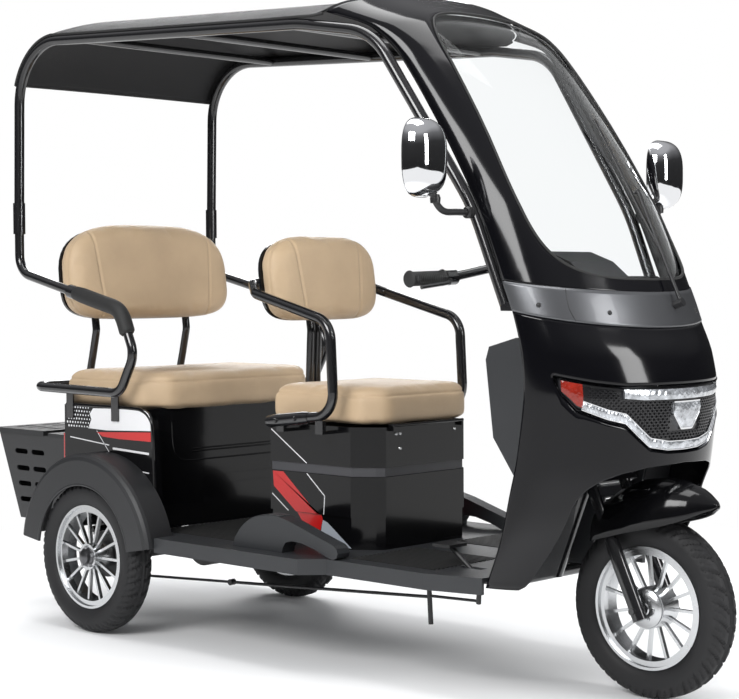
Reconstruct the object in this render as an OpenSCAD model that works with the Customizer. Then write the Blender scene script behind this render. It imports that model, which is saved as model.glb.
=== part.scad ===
// Electric passenger tricycle with roof and windshield, millimetres.
// +X forward, +Y to the vehicle's left, +Z up, origin on the ground below the middle of its length.
// Lengths along X are written from the rear axle.

/* [Overall] */
// Distance between the rear and front axles
wheelbase = 1570; // [1500:10:1640]
// Distance between the middle planes of the rear tyres
track = 746; // [720:2:780]
// Height of the floor's top face above the ground
floor_z = 284; // [275:1:290]

/* [Wheels] */
// Outer diameter of all three tyres
tyre_od = 415; // [400:1:420]
// Width of a tyre
tyre_w = 82; // [74:1:88]
// Diameter over the rim's flange
rim_d = 282; // [274:1:290]
// Width over the rim's flanges
rim_w = 62; // [56:1:66]
// Spokes in each rim
spokes = 15; // [10:1:18]
// Diameter of the wheel axles
axle_d = 15; // [12:1:17]

/* [Steering] */
// Rake of the steering axis from upright, degrees
rake = 25; // [23:0.5:27]
// Distance of each fork leg from the middle
fork_leg_y = 66; // [64:1:72]
// Diameter of a fork leg's lower tube
fork_leg_d = 34; // [30:1:38]
// Diameter of the handlebar tube
bar_d = 22.2; // [21:0.1:25.4]
// Half the width of the handlebar
bar_half = 322; // [300:1:330]

/* [Roof frame] */
// Distance of a roof rail's centre line from the middle
rail_y = 364; // [355:1:372]
// Diameter of the roof tubes
post_d = 28; // [24:1:32]
// Height of the roof rails over the rear posts
rail_z = 1634; // [1600:1:1660]
// Rise of the roof skin over the rails at its middle
roof_crown = 70; // [60:1:80]

/* [Seats] */
// Half the width of the rear bench cushion
rear_seat_half = 325; // [300:1:328]
// Depth of the rear bench cushion
rear_seat_depth = 400; // [380:1:410]
// Thickness of both cushions
cushion_t = 88; // [70:1:95]
// Half the width of the driver's cushion
driver_seat_half = 205; // [190:1:212]
// Depth of the driver's cushion
driver_seat_depth = 380; // [340:1:385]
// Diameter of the armrest tubes
arm_d = 26; // [22:1:30]

/* [Luggage box] */
// Half the width of the luggage box at its rim
box_half = 300; // [250:1:320]
// Height of the luggage box
box_h = 252; // [230:1:270]

/* [Mirrors] */
// Distance of a mirror's centre from the middle
mirror_y = 460; // [430:1:470]
// Height of a mirror's shell
mirror_h = 178; // [150:1:185]

/* [Hidden] */
$fn = 48;

tyre_r = tyre_od / 2;
rim_r = rim_d / 2;
track_half = track / 2;
// Space between pieces that lie against each other
seat_gap = 0.3;
// Running space between a turning piece and its pin
run_gap = 0.05;
// Rear face of the luggage box's cover
box_rear_x = -562;
front_x = wheelbase + tyre_r;
mid_x = (front_x + box_rear_x) / 2;

// A bent tube is drawn down by this much in its bends, and its straights reach this far into them
bend_draw = 0.05;
bend_lap = 0.4;

// Small vector tools
function unit(v) = v / norm(v);
function side_points(pts, s) = [for (p = pts) [p[0], s * p[1], p[2]]];

// Moves the vehicle's lengths from the rear axle to the middle
module placed() {
  translate([-mid_x, 0, 0])
    children();
}

// Frame of axes at p with Z along d
module along(p, d) {
  z = unit(d);
  h = abs(z[1]) < 0.9 ? [0, 1, 0] : [1, 0, 0];
  x = unit(cross(h, z));
  y = cross(z, x);
  multmatrix([[x[0], y[0], z[0], p[0]], [x[1], y[1], z[1], p[1]], [x[2], y[2], z[2], p[2]], [0, 0, 0, 1]])
    children();
}

// Straight round bar from a to b
module bar(a, b, r) {
  along(a, b - a)
    cylinder(r = r, h = norm(b - a));
}

// One round bend about corner b of the path a, b, c
module bend(a, b, c, r, br) {
  d1 = unit(b - a);
  d2 = unit(c - b);
  turn = acos(d1 * d2);
  t = br * tan(turn / 2);
  n = unit(d2 - (d1 * d2) * d1);
  m = b - d1 * t + n * br;
  z = cross(-n, d1);
  multmatrix([[-n[0], d1[0], z[0], m[0]], [-n[1], d1[1], z[1], m[1]], [-n[2], d1[2], z[2], m[2]],
      [0, 0, 0, 1]])
    rotate_extrude(angle = turn)
      translate([br, 0])
        circle(r = r);
}

// Length that a bend takes from each leg of its corner
function bend_cut(a, b, c, br) = br * tan(acos(unit(b - a) * unit(c - b)) / 2);

// Round tube along points, with bend radius br[i] at inner corner i
module tube_path(pts, r, br) {
  n = len(pts);
  for (i = [0 : n - 2]) {
    a = pts[i];
    b = pts[i + 1];
    d = unit(b - a);
    ca = i == 0 ? 0 : bend_cut(pts[i - 1], a, b, br[i - 1]);
    cb = i == n - 2 ? 0 : bend_cut(a, b, pts[i + 2], br[i]);
    bar(a + d * (i == 0 ? 0 : ca - bend_lap), b - d * (i == n - 2 ? 0 : cb - bend_lap), r);
  }
  for (i = [1 : n - 2])
    bend(pts[i - 1], pts[i], pts[i + 1], r - bend_draw, br[i - 1]);
}

// Closed shell between two grids of points of the same size
module shell_grid(outer, inner) {
  n = len(outer);
  m = len(outer[0]);
  pts = concat([for (row = outer) each row], [for (row = inner) each row]);
  o = n * m;
  quads = concat(
    [for (i = [0 : n - 2]) for (j = [0 : m - 2])
      [i * m + j, i * m + j + 1, (i + 1) * m + j + 1, (i + 1) * m + j]],
    [for (i = [0 : n - 2]) for (j = [0 : m - 2])
      [o + i * m + j, o + (i + 1) * m + j, o + (i + 1) * m + j + 1, o + i * m + j + 1]],
    [for (i = [0 : n - 2]) [i * m, (i + 1) * m, o + (i + 1) * m, o + i * m]],
    [for (i = [0 : n - 2]) [(i + 1) * m + m - 1, i * m + m - 1, o + i * m + m - 1, o + (i + 1) * m + m - 1]],
    [for (j = [0 : m - 2]) [j + 1, j, o + j, o + j + 1]],
    [for (j = [0 : m - 2]) [(n - 1) * m + j, (n - 1) * m + j + 1, o + (n - 1) * m + j + 1,
      o + (n - 1) * m + j]]);
  polyhedron(pts, [for (q = quads) each [[q[0], q[2], q[1]], [q[0], q[3], q[2]]]]);
}

// Closed shell between two rings of loops, each row a closed loop
module shell_ring(outer, inner) {
  n = len(outer);
  m = len(outer[0]);
  pts = concat([for (row = outer) each row], [for (row = inner) each row]);
  o = n * m;
  quads = concat(
    [for (i = [0 : n - 2]) for (j = [0 : m - 1])
      [i * m + j, i * m + (j + 1) % m, (i + 1) * m + (j + 1) % m, (i + 1) * m + j]],
    [for (i = [0 : n - 2]) for (j = [0 : m - 1])
      [o + i * m + j, o + (i + 1) * m + j, o + (i + 1) * m + (j + 1) % m, o + i * m + (j + 1) % m]],
    [for (j = [0 : m - 1]) [(j + 1) % m, j, o + j, o + (j + 1) % m]],
    [for (j = [0 : m - 1]) [(n - 1) * m + j, (n - 1) * m + (j + 1) % m, o + (n - 1) * m + (j + 1) % m,
      o + (n - 1) * m + j]]);
  polyhedron(pts, [for (q = quads) each [[q[0], q[2], q[1]], [q[0], q[3], q[2]]]]);
}

// Steering axis: foot at the front axle, direction up and back
axis_foot = [wheelbase, 0, tyre_r];
axis_dir = [-sin(rake), 0, cos(rake)];
function on_axis(s) = axis_foot + axis_dir * s;

// Moves a piece drawn upright at the front axle onto the steering axis
module steered() {
  translate(axis_foot)
    rotate([0, -rake, 0])
      children();
}

// Front bodywork: side line and middle line, level by level.
// Columns: side x, side height, half width, middle x, middle height
front_levels = [
  [1330, 262, 310, 1530, 262],
  [1375, 378, 310, 1615, 378],
  [1400, 480, 310, 1640, 480],
  [1420, 560, 310, 1652, 560],
  [1440, 700, 310, 1664, 690],
  [1432, 800, 310, 1645, 780],
  [1408, 885, 310, 1612, 845],
  [1380, 952, 310, 1580, 925],
  [1306, 1120, 308, 1497, 1115],
  [1203, 1290, 305, 1378, 1290],
  [1080, 1467, 308, 1237, 1460],
  [1000, 1548, 330, 1120, 1572],
  [880, 1592, 356, 960, 1652]
];
function level(v, k) = let (i = max(0, min(floor(v), len(front_levels) - 2)), f = v - i)
  front_levels[i][k] * (1 - f) + front_levels[i + 1][k] * f;
function front_raw(v, a) = [
  level(v, 0) + (level(v, 3) - level(v, 0)) * cos(a),
  level(v, 2) * sin(a),
  level(v, 1) + (level(v, 4) - level(v, 1)) * cos(a)
];
function front_normal(v, a) = let (v0 = v - 0.2, v1 = min(v + 0.2, 12))
  unit(cross(front_raw(v, a + 2) - front_raw(v, a - 2), front_raw(v1, a) - front_raw(v0, a)));
// Point of the front bodywork, pushed in by t
function front_at(v, a, t = 0) = front_raw(v, a) - front_normal(v, a) * t;

cowl_t = 4;
half_angles = [0, 5.5, 11, 16, 21.5, 28, 35, 39.5, 44, 50, 55, 59.5, 63.5, 67.6, 71.5, 76, 82, 90];
cowl_top_v = 6;
band_top_v = 7;
cap_top_v = 12;
cowl_angles = concat([for (i = [len(half_angles) - 1 : -1 : 1]) -half_angles[i]], half_angles);
// Lowest level of the cowl against the angle from straight ahead: the wheel arch
arch_levels = [[0, 2.82], [22, 2.75], [35, 2.6], [44, 2.4], [50, 2.15], [55, 1.8], [59.5, 0.9], [63.5, 0.1],
  [67.6, -0.4]];
// Lamp cluster in the nose: angle from straight ahead, then its lower and its upper level
cluster_low = [[0, 3.06], [11, 3.07], [21.5, 3.14], [28, 3.33], [35, 3.54], [44, 3.61], [59.5, 3.79],
  [67.6, 4.05], [71.5, 4.34]];
cluster_top = [[0, 4.29], [11, 4.29], [35, 4.27], [50, 4.33], [71.5, 4.46]];
cluster_angles = [for (a = cowl_angles) if (abs(a) < 72) a];
// Points of the cluster's outline at depth t, wider by the level g and by the share w of its angle
function cluster_grid(t, g, w, o = 0) = [for (k = [0 : 6]) [for (a = cluster_angles)
  let (low = lookup(abs(a), cluster_low) - g, top = lookup(abs(a), cluster_top) + g)
  front_at(low + (top - low) * k / 6, a * w + o, t)]];
// A lens between two angles and two levels, each level as a table over the angle
function lens_grid(t, angles, low, top) = [for (k = [0 : 2]) [for (a = angles)
  front_at(lookup(abs(a), low) + (lookup(abs(a), top) - lookup(abs(a), low)) * k / 2, a, t)]];
housing_depth = 14;
housing_floor_t = 4;

// The window's outline in the unit square of the surround, as a rounded tapering shape
function sgn_pow(x, p) = sign(x) * pow(abs(x), p);
window_mid = -0.1;
window_half_v = 0.83;
window_half_a = 0.62;
function window_b(t, g) = window_mid + (window_half_v + g) * sgn_pow(sin(t), 0.55);
function window_a(t, g) = (window_half_a + g) * (1 - 0.24 * window_b(t, 0)) * sgn_pow(cos(t), 0.5);
function square_ab(t) = [cos(t), sin(t)] / max(abs(cos(t)), abs(sin(t)));
function mix(p, q, f) = p * (1 - f) + q * f;
function cap_v(b) = (cap_top_v + band_top_v) / 2 + b * (cap_top_v - band_top_v) / 2;
function cap_point(ab, t) = front_at(cap_v(ab[1]), 90 * ab[0], t);

surround_t = 4;
glass_t = 4;
glass_lap = 0.03;

// Turned profile of a tyre about Y, from the bead over the tread to the other bead
bead_y = rim_w / 2 - 9;
widest_r = rim_r + 30;
function tyre_side(s) = concat(
  [for (t = [0 : 15 : 90]) [widest_r + (tyre_r - widest_r) * sgn_pow(sin(t), 0.85),
    s * tyre_w / 2 * sgn_pow(cos(t), 0.8)]]);
function tyre_foot(s) = [[rim_r - 6, s * (bead_y - 1)], [rim_r, s * (bead_y + 5)], [rim_r + 1, s * (bead_y + 8)],
  [rim_r + 8, s * (tyre_w / 2 - 5.5)], [rim_r + 18, s * (tyre_w / 2 - 1.2)]];
function reversed(v) = [for (i = [len(v) - 1 : -1 : 0]) v[i]];
tyre_outline = concat(tyre_foot(-1), tyre_side(-1), reversed([for (p = tyre_side(1)) if (p[1] > 0.01) p]),
  reversed(tyre_foot(1)));

module tyre() {
  rotate([90, 0, 0])
    rotate_extrude($fn = 96)
      polygon(tyre_outline);
}

// Cast rim: flanged barrel, flat spokes and a bored hub, axle along Y
module rim(hub_r, dish) {
  rotate([90, 0, 0]) {
    difference() {
      union() {
        rotate_extrude($fn = 96)
          polygon([
            [rim_r - 20, -rim_w / 2 + 6], [rim_r - 6.5, -rim_w / 2 + 6], [rim_r - 6.5, -rim_w / 2],
            [rim_r, -rim_w / 2], [rim_r, -rim_w / 2 + 3], [rim_r - 6.3, -rim_w / 2 + 9],
            [rim_r - 6.3, rim_w / 2 - 9], [rim_r, rim_w / 2 - 3], [rim_r, rim_w / 2],
            [rim_r - 6.5, rim_w / 2], [rim_r - 6.5, rim_w / 2 - 6], [rim_r - 20, rim_w / 2 - 6],
            [rim_r - 14, 0]]);
        cylinder(r = hub_r, h = rim_w, center = true);
        for (i = [0 : spokes - 1])
          rotate([0, 0, i * 360 / spokes])
            translate([hub_r - 4, 0, dish])
              rotate([-90, 0, -90])
                linear_extrude(height = rim_r - hub_r - 10)
                  square([7, 10], center = true);
      }
      cylinder(r = axle_d / 2 + run_gap, h = rim_w + 2, center = true);
    }
  }
}

module at_front_axle() {
  placed()
    translate([wheelbase, 0, tyre_r])
      children();
}

module at_rear_axle(s) {
  placed()
    translate([0, s * track_half, tyre_r])
      children();
}

module front_tyre() {
  color("#1b1b1c")
    at_front_axle()
      tyre();
}

module front_rim() {
  color("#c9ccd0")
    at_front_axle()
      rim(48, 0);
}

module rear_tyre_left() {
  color("#1b1b1c")
    at_rear_axle(1)
      tyre();
}

module rear_rim_left() {
  color("#c9ccd0")
    at_rear_axle(1)
      rim(36, -14);
}

module rear_tyre_right() {
  color("#1b1b1c")
    at_rear_axle(-1)
      tyre();
}

module rear_rim_right() {
  color("#c9ccd0")
    at_rear_axle(-1)
      rim(36, 14);
}

frame_rail_y = 150;
frame_rail_r = 19;
// Bottom of the floor lies this far over the frame's rails
frame_z = floor_z - 10 - seat_gap - frame_rail_r;
head_low = 330;
head_high = 520;
head_r = 26;
stem_r = 14;
frame_front_x = 1298;
frame_rear_x = -185;

carrier_x = -478;
carrier_y = 150;
carrier_r = 9;
carrier_z = 251;
spring_y = 235;
spring_rear_x = -160;
spring_front_x = 205;

// Underframe with head tube, spring hangers and the luggage carrier
module frame() {
  color("#151516")
    placed()
      difference() {
        union() {
          for (s = [-1, 1]) {
            bar([frame_rear_x, s * frame_rail_y, frame_z], [frame_front_x, s * frame_rail_y, frame_z], frame_rail_r);
            bar([carrier_x, s * carrier_y, carrier_z], [frame_rear_x + 20, s * carrier_y, carrier_z], carrier_r);
          }
          for (x = [frame_rear_x + 16, 250, 500, 900, frame_front_x - 16])
            bar([x, -frame_rail_y, frame_z], [x, frame_rail_y, frame_z], 14);
          for (x = [spring_rear_x, spring_front_x])
            bar([x, -spring_y - 30, frame_z], [x, spring_y + 30, frame_z], 9);
          for (x = [560, 860])
            bar([x, -330, frame_z], [x, 330, frame_z], 12);
          bar([carrier_x, -carrier_y - 70, carrier_z], [carrier_x, carrier_y + 70, carrier_z], carrier_r - 1);
          bar([frame_front_x - 16, 0, frame_z], on_axis(head_low + 60), 24);
          bar(on_axis(head_low), on_axis(head_high), head_r);
        }
        bar(on_axis(head_low - 10), on_axis(head_high + 10), stem_r + run_gap);
      }
}

axle_tube_r = 24;
drum_y = track_half - rim_w / 2 - 4;

// Axle with motor housing, brake drums and leaf springs
module rear_axle() {
  color("#1d1e20")
    placed() {
      bar([0, -track_half - 36, tyre_r], [0, track_half + 36, tyre_r], axle_d / 2);
      bar([0, -drum_y + 34, tyre_r], [0, drum_y - 34, tyre_r], axle_tube_r);
      for (s = [-1, 1]) {
        bar([0, s * (drum_y - 44), tyre_r], [0, s * drum_y, tyre_r], 62);
        translate([0, s * spring_y + 24, 0])
          rotate([90, 0, 0])
            linear_extrude(height = 48)
              polygon([[spring_rear_x, frame_z - 9.3], [-60, tyre_r + axle_tube_r + 1], [60, tyre_r + axle_tube_r + 1],
                [spring_front_x, frame_z - 9.3], [spring_front_x, frame_z - 16], [60, tyre_r + axle_tube_r - 8],
                [-60, tyre_r + axle_tube_r - 8], [spring_rear_x, frame_z - 16]]);
      }
      bar([0, 10, tyre_r], [0, 122, tyre_r], 72);
    }
}

module battery() {
  color("#3a3a3c")
    placed()
      translate([545, -150, floor_z + seat_gap])
        cube([250, 300, 190]);
}

floor_half = 400;
floor_t = 10;
// The tunnel over the frame's down tube, at the middle of the leg shield's foot
tunnel_x = 1255;
tunnel_half = 60;
step_x = 835;
floor_front_x = 1326;
floor_rear_x = 156;
sill_rear_x = 278.2;
floor_front_half = 352;
sill_low_z = 246;

// Floor tray: wide behind, stepped in ahead of the driver's seat
module floor_tray() {
  outline = [[floor_rear_x, -320], [sill_rear_x, -320], [sill_rear_x, -floor_half],
    [step_x - 20, -floor_half], [step_x + 30, -floor_front_half], [1180, -floor_front_half],
    [floor_front_x, -318], [floor_front_x, 318], [1180, floor_front_half],
    [step_x + 30, floor_front_half], [step_x - 20, floor_half], [sill_rear_x, floor_half],
    [sill_rear_x, 320], [floor_rear_x, 320]];
  color("#2c2d30")
    placed()
      translate([0, 0, floor_z - floor_t])
        linear_extrude(height = floor_t)
          difference() {
            polygon(outline);
            translate([tunnel_x + 4, -tunnel_half + 5])
              square([200, 2 * tunnel_half - 10]);
            translate([1178, -226])
              square([68, 24]);
          }
  color("#2c2d30")
    placed()
      for (s = [-1, 1])
        translate([0, 0, sill_low_z])
          linear_extrude(height = floor_z - sill_low_z)
            polygon([for (p = [[sill_rear_x, floor_half], [step_x - 20, floor_half], [step_x + 30, floor_front_half],
              [1180, floor_front_half], [floor_front_x, 318], [floor_front_x - 2, 308], [1178, floor_front_half - 10],
              [step_x + 26, floor_front_half - 10], [step_x - 24, floor_half - 10], [sill_rear_x, floor_half - 10]])
              [p[0], s * p[1]]]);
}

// Arched guards beside the driver's seat box
module step_guards() {
  color("#2f3034")
    placed()
      for (s = [-1, 1])
        translate([720, s * 330 + 21, floor_z + seat_gap])
          rotate([90, 0, 0])
            linear_extrude(height = 42)
              polygon([[-188, 0], [-181, 22], [-160, 48], [-130, 70], [-95, 83], [-55, 89], [-20, 88], [20, 79],
                [80, 61], [140, 43], [168, 35], [180, 27], [184, 16], [180, 5], [168, 0], [152, 3], [110, 18],
                [60, 30], [24, 32], [4, 26], [-6, 12], [-8, 0]]);
}

// Seat plan from x0 to x1 of half width h, with cut front corners c and set in by d
function seat_plan(x0, x1, h, c, d) = [[x0 + d, -h + 12 + d], [x0 + 12 + d, -h + d], [x1 - c, -h + d],
  [x1 - c * 0.3 - d * 0.8, -h + c * 0.45 + d * 0.8], [x1 - d, -h + c + d * 0.4], [x1 - d, h - c - d * 0.4],
  [x1 - c * 0.3 - d * 0.8, h - c * 0.45 - d * 0.8], [x1 - c, h - d], [x0 + 12 + d, h - d], [x0 + d, h - 12 - d]];
// Upholstered seat pad: full plan below, set in at its top edge
module seat_pad(x0, x1, h, c, z, t) {
  hull() {
    translate([0, 0, z])
      linear_extrude(height = 2)
        polygon(seat_plan(x0, x1, h, c, 5));
    translate([0, 0, z + 8])
      linear_extrude(height = t - 32)
        polygon(seat_plan(x0, x1, h, c, 0));
    translate([0, 0, z + 8])
      linear_extrude(height = t - 15)
        polygon(seat_plan(x0, x1, h, c, 8));
    translate([0, 0, z + 8])
      linear_extrude(height = t - 8)
        polygon(seat_plan(x0, x1, h, c, 24));
  }
}
// Upholstered back pad of half width a, half height b and depth t, flat face at x = 0
// Outline of a backrest: half width, height above and below its middle, set in by d; its top is arched
function back_outline(a, b, low, d) = [for (t = [0:7.5:359]) [(a - d) * sgn_pow(cos(t), sin(t) > 0 ? 0.62 : 0.42),
  sin(t) > 0 ? (b - d) * sgn_pow(sin(t), 0.72) : (low - d) * sgn_pow(sin(t), 0.5)]];
module back_pad(a, b, low, t) {
  hull()
    for (course = [[28, 0], [10, 8], [0, 26]])
      rotate([90, 0, 90])
        linear_extrude(height = t - course[0])
          polygon(back_outline(a, b, low, course[1]));
}
// Oblong hole's outline of length l and height h
function oblong(l, h) = [for (q = [[1, -90], [-1, 90]]) for (t = [0 : 30 : 180])
  [q[0] * (l - h) / 2 + h / 2 * cos(q[1] + t), h / 2 * sin(q[1] + t)]];

seat_base_half = rear_seat_half + 5;
seat_base_top = 612;
module rear_seat_base() {
  color("#0d0d0f")
    placed() {
      for (s = [-1, 1])
        translate([0, s * seat_base_half + 2, 0])
          rotate([90, 0, 0])
            linear_extrude(height = 4)
              difference() {
                polygon([[-190, floor_z + seat_gap], [210, floor_z + seat_gap], [208, 400], [200, 560], [194, 588],
                  [180, 604], [160, 612], [-190, 612]]);
                translate([0, tyre_r])
                  circle(r = 215);
              }
      for (s = [-1, 1])
        translate([0, s * (seat_base_half - 8) + 10, 0])
            rotate([90, 0, 0])
              linear_extrude(height = 20)
                polygon([[192, floor_z + seat_gap], [209.5, floor_z + seat_gap], [207.5, 400], [199.5, 560], [192, 585], [188, 560]]);
      difference() {
        translate([150, -seat_base_half + 1, floor_z + seat_gap])
          cube([4, 2 * seat_base_half - 2, seat_base_top - floor_z - seat_gap]);
        for (z = [392, 418])
          translate([152.4, -235, z])
            cube([4, 470, 9]);
      }
      translate([-190, -seat_base_half + 1, floor_z + seat_gap])
        cube([4, 2 * seat_base_half - 2, seat_base_top - floor_z - seat_gap]);
      translate([-188, -seat_base_half + 1, seat_base_top - 4])
        cube([340, 2 * seat_base_half - 2, 4]);
    }
}

fender_r = 282;
fender_out = 424;
// Half section of a rear fender: radius, distance from the middle
fender_section = [[fender_r, seat_base_half + 2.3], [fender_r, fender_out - 20], [fender_r - 2.5, fender_out - 11],
  [fender_r - 9, fender_out - 4], [fender_r - 18, fender_out], [200, fender_out], [197, fender_out - 1],
  [197, fender_out - 3], [200, fender_out - 4], [fender_r - 19, fender_out - 4], [fender_r - 11.5, fender_out - 7.5],
  [fender_r - 6.2, fender_out - 13], [fender_r - 4, fender_out - 21], [fender_r - 4, seat_base_half + 2.3]];
module rear_fenders() {
  color("#2b2c2f")
    placed()
      for (s = [-1, 1])
        translate([0, 0, tyre_r])
          rotate([90, 0, 0])
            rotate([0, 0, 10])
              rotate_extrude(angle = 162, $fn = 72)
                polygon([for (p = fender_section) [p[0], -s * p[1]]]);
}

box_front_x = -196;
box_z = 261;
box_top_z = box_z + box_h;
cover_t = 14;
cover_hinge_x = -325;
cover_pin_x = cover_hinge_x + 4;
cover_pin_z = box_top_z + cover_t + 2;
cover_pin_r = 3;
slot_rows = [318, 365, 411, 461];
module luggage_box() {
  color("#252628")
    placed() {
      difference() {
        hull() {
          translate([box_rear_x + 70, -box_half + 30, box_z])
            cube([-box_rear_x - 70 + box_front_x, 2 * box_half - 60, 2]);
          translate([box_rear_x + 12, -box_half, box_top_z - 2])
            cube([-box_rear_x - 12 + box_front_x, 2 * box_half, 2]);
        }
        translate([0, 0, 4])
          hull() {
            translate([box_rear_x + 74, -box_half + 34, box_z])
              cube([-box_rear_x - 78 + box_front_x, 2 * box_half - 68, 2]);
            translate([box_rear_x + 16, -box_half + 4, box_top_z])
              cube([-box_rear_x - 20 + box_front_x, 2 * box_half - 8, 2]);
          }
        for (z = slot_rows) {
          for (x = [-452, -372])
            translate([x, 330, z])
              rotate([90, 0, 0])
                linear_extrude(height = 660)
                  polygon(oblong(62, 15));
          for (y = [-180, -90, 0, 90, 180])
            translate([box_rear_x - 5, y, z])
              rotate([90, 0, 90])
                linear_extrude(height = 90)
                  polygon(oblong(66, 15));
        }
      }
      translate([cover_hinge_x + 10, -box_half, box_top_z - 4])
        cube([box_front_x - cover_hinge_x - 10, 2 * box_half, 12]);
      for (s = [-1, 1])
        translate([cover_pin_x - 4, s * 200 - 4, box_top_z - 4])
          cube([24, 8, 24]);
      bar([cover_pin_x, -206, cover_pin_z], [cover_pin_x, 206, cover_pin_z], cover_pin_r);
    }
}

module luggage_cover() {
  color("#2b2c2f")
    placed()
      difference() {
        union() {
          translate([box_rear_x, -box_half - 8, box_top_z + seat_gap])
            cube([cover_hinge_x - box_rear_x, 2 * box_half + 16, cover_t]);
          for (s = [-1, 1])
            bar([cover_pin_x, s * 150, cover_pin_z], [cover_pin_x, s * 180, cover_pin_z], 5.5);
        }
        bar([cover_pin_x, -300, cover_pin_z], [cover_pin_x, 300, cover_pin_z], cover_pin_r + run_gap);
        for (s = [-1, 1])
          translate([cover_hinge_x - 26, s * 200 - 12, box_top_z - 1])
            cube([40, 24, cover_t + 4]);
        for (x = [-520, -470, -420, -370])
          for (y = [-225, -135, -45, 45, 135, 225])
            translate([x, y, box_top_z - 1])
              rotate([0, 0, 90])
                linear_extrude(height = cover_t + 4)
                  polygon(oblong(66, 16));
      }
}

rear_seat_front = 190;
module rear_seat_cushion() {
  color("#cfb48f")
    placed()
      seat_pad(rear_seat_front - rear_seat_depth, rear_seat_front, rear_seat_half, 70, seat_base_top + seat_gap, cushion_t + 6);
}

module rear_backrest() {
  color("#cfb48f")
    placed()
      translate([-215, 0, 965])
        rotate([0, -8, 0])
          translate([-40, 0, 0])
            back_pad(302, 168, 122, 70);
}

module rear_backrest_frame() {
  color("#151516")
    placed() {
      translate([-215, 0, 965])
        rotate([0, -8, 0])
          translate([-48, 0, 0])
            rotate([90, 0, 90])
              linear_extrude(height = 7.7)
                polygon(back_outline(302, 168, 122, 9));
      for (s = [-1, 1])
        tube_path([[-262, s * 171, 905], [-249.5, s * 171, 815], [-268, s * 171, 740], [-289, s * 171, 665]], 11, [50, 50]);
      bar([-290, -199.7, 661], [-290, 199.7, 661], arm_d / 2);
    }
}

// Place of the rear posts and height of the joint between post and armrest tube
post_x = -351;
joint_z = 1137;
sleeve_half = 44;

// Rear post foot, armrest and lower bar in one tube, left side points
rear_arm_points = [[post_x, rail_y, joint_z], [post_x, rail_y, 985], [104, rail_y, 880], [160, rail_y, 760],
  [98, rail_y, 655], [-290, rail_y, 661], [-290, 200, 661]];
arm_pad = [for (x = [-115, 62]) [x, rail_y, 985 - (x - post_x) * 105 / (104 - post_x)]];
module rear_arms() {
  color("#141416")
    placed()
      for (s = [-1, 1]) {
        tube_path(side_points(rear_arm_points, s), arm_d / 2, [60, 60, 60, 50, 50]);
        bar([arm_pad[0][0], s * rail_y, arm_pad[0][2]], [arm_pad[1][0], s * rail_y, arm_pad[1][2]], 19);
        for (x = [-160, 40])
          mirror([0, s > 0 ? 0 : 1, 0]) {
            translate([x - 15, seat_base_half + 2 + seat_gap, 575])
              cube([30, 5, 86]);
            translate([x - 15, seat_base_half + 2 + seat_gap, 655])
              cube([30, rail_y - seat_base_half - 2, 6]);
          }
      }
}

rail_slope = 0.055;
function rail_at(x) = rail_z - (x - post_x - 11) * rail_slope;
roof_points = [[post_x, rail_y, joint_z + seat_gap], [post_x + 11, rail_y, rail_z], [800, rail_y, rail_at(800)],
  [1012, 335, 1535], [1290, 302, 1118], [1378, 296, 900]];
module roof_rail(s) {
  color("#111113")
    placed()
      difference() {
        union() {
          tube_path(side_points(roof_points, s), post_d / 2, [170, 300, 160, 500]);
          translate([post_x, s * rail_y, joint_z - sleeve_half])
            cylinder(r = post_d / 2 + 3, h = 2 * sleeve_half);
          translate([0, s * 296 + 10, 0])
            rotate([90, 0, 0])
              linear_extrude(height = 20)
                polygon([[1368, 905], [1402.2, 905], [1410.6, 885], [1372, 885]]);
        }
        translate([post_x, s * rail_y, joint_z - sleeve_half - 1])
          cylinder(r = arm_d / 2 + seat_gap, h = sleeve_half + 1 + seat_gap);
      }
}

module roof_rail_left() {
  roof_rail(1);
}

module roof_rail_right() {
  roof_rail(-1);
}

module roof_cross_tubes() {
  color("#111113")
    placed()
      for (x = [-60, 350, 760])
        bar([x, -rail_y + post_d / 2 + seat_gap, rail_at(x)], [x, rail_y - post_d / 2 - seat_gap, rail_at(x)], 11);
}

// Roof skin over the rails, from the rear drop forward: x, height at its edge, share of the crown
// along the height and along the length, and share of the front edge's bow
skin_t = 4;
skin_lift = post_d / 2 + skin_t - 0.2;
skin_bend = 170 + skin_lift + 2;
skin_line = concat(
  [for (a = [161, 150, 138, 125, 110, 98]) [-173.9 + skin_bend * cos(a), 1454.3 + skin_bend * sin(a),
    max(0.12, sin(a)) * min(1, (168 - a) / 60 + 0.1), -cos(a) * 0.35, 0]],
  [for (x = [-160, 0, 250, 500]) [x, rail_at(x) + skin_lift, 1, 0, 0]],
  [[690, rail_at(690) + skin_lift, 0.99, 0, 0.25], [800, rail_at(800) + skin_lift + 1, 0.94, 0, 0.7],
    [870, 1592, 0.87, 0, 1]]);
skin_columns = [-1, -0.9, -0.78, -0.62, -0.42, -0.2, 0, 0.2, 0.42, 0.62, 0.78, 0.9, 1];
function skin_half(r) = r[4] < 1 ? rail_y + 6 : 356;
function skin_at(r, g, t) = let (c = cos(90 * g), d = r[4] < 1 ? c * c : c)
  [r[0] - roof_crown * r[3] * d + 80 * c * r[4], skin_half(r) * sin(90 * g), r[1] + roof_crown * r[2] * d - t];
module roof_skin() {
  grid = function (t) [for (r = skin_line) [for (g = skin_columns) skin_at(r, g, t)]];
  color("#3a3b3d")
    placed()
      shell_grid(grid(skin_t), grid(0));
}

module windshield_surround() {
  ring = function (t) [for (f = [0 : 0.25 : 1]) [for (a = [0 : 7.5 : 352.5])
    cap_point(mix(square_ab(a), [window_a(a, 0), window_b(a, 0)], f), t)]];
  color("#0c0c0e")
    placed()
      shell_ring(ring(0), ring(surround_t));
}

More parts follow.
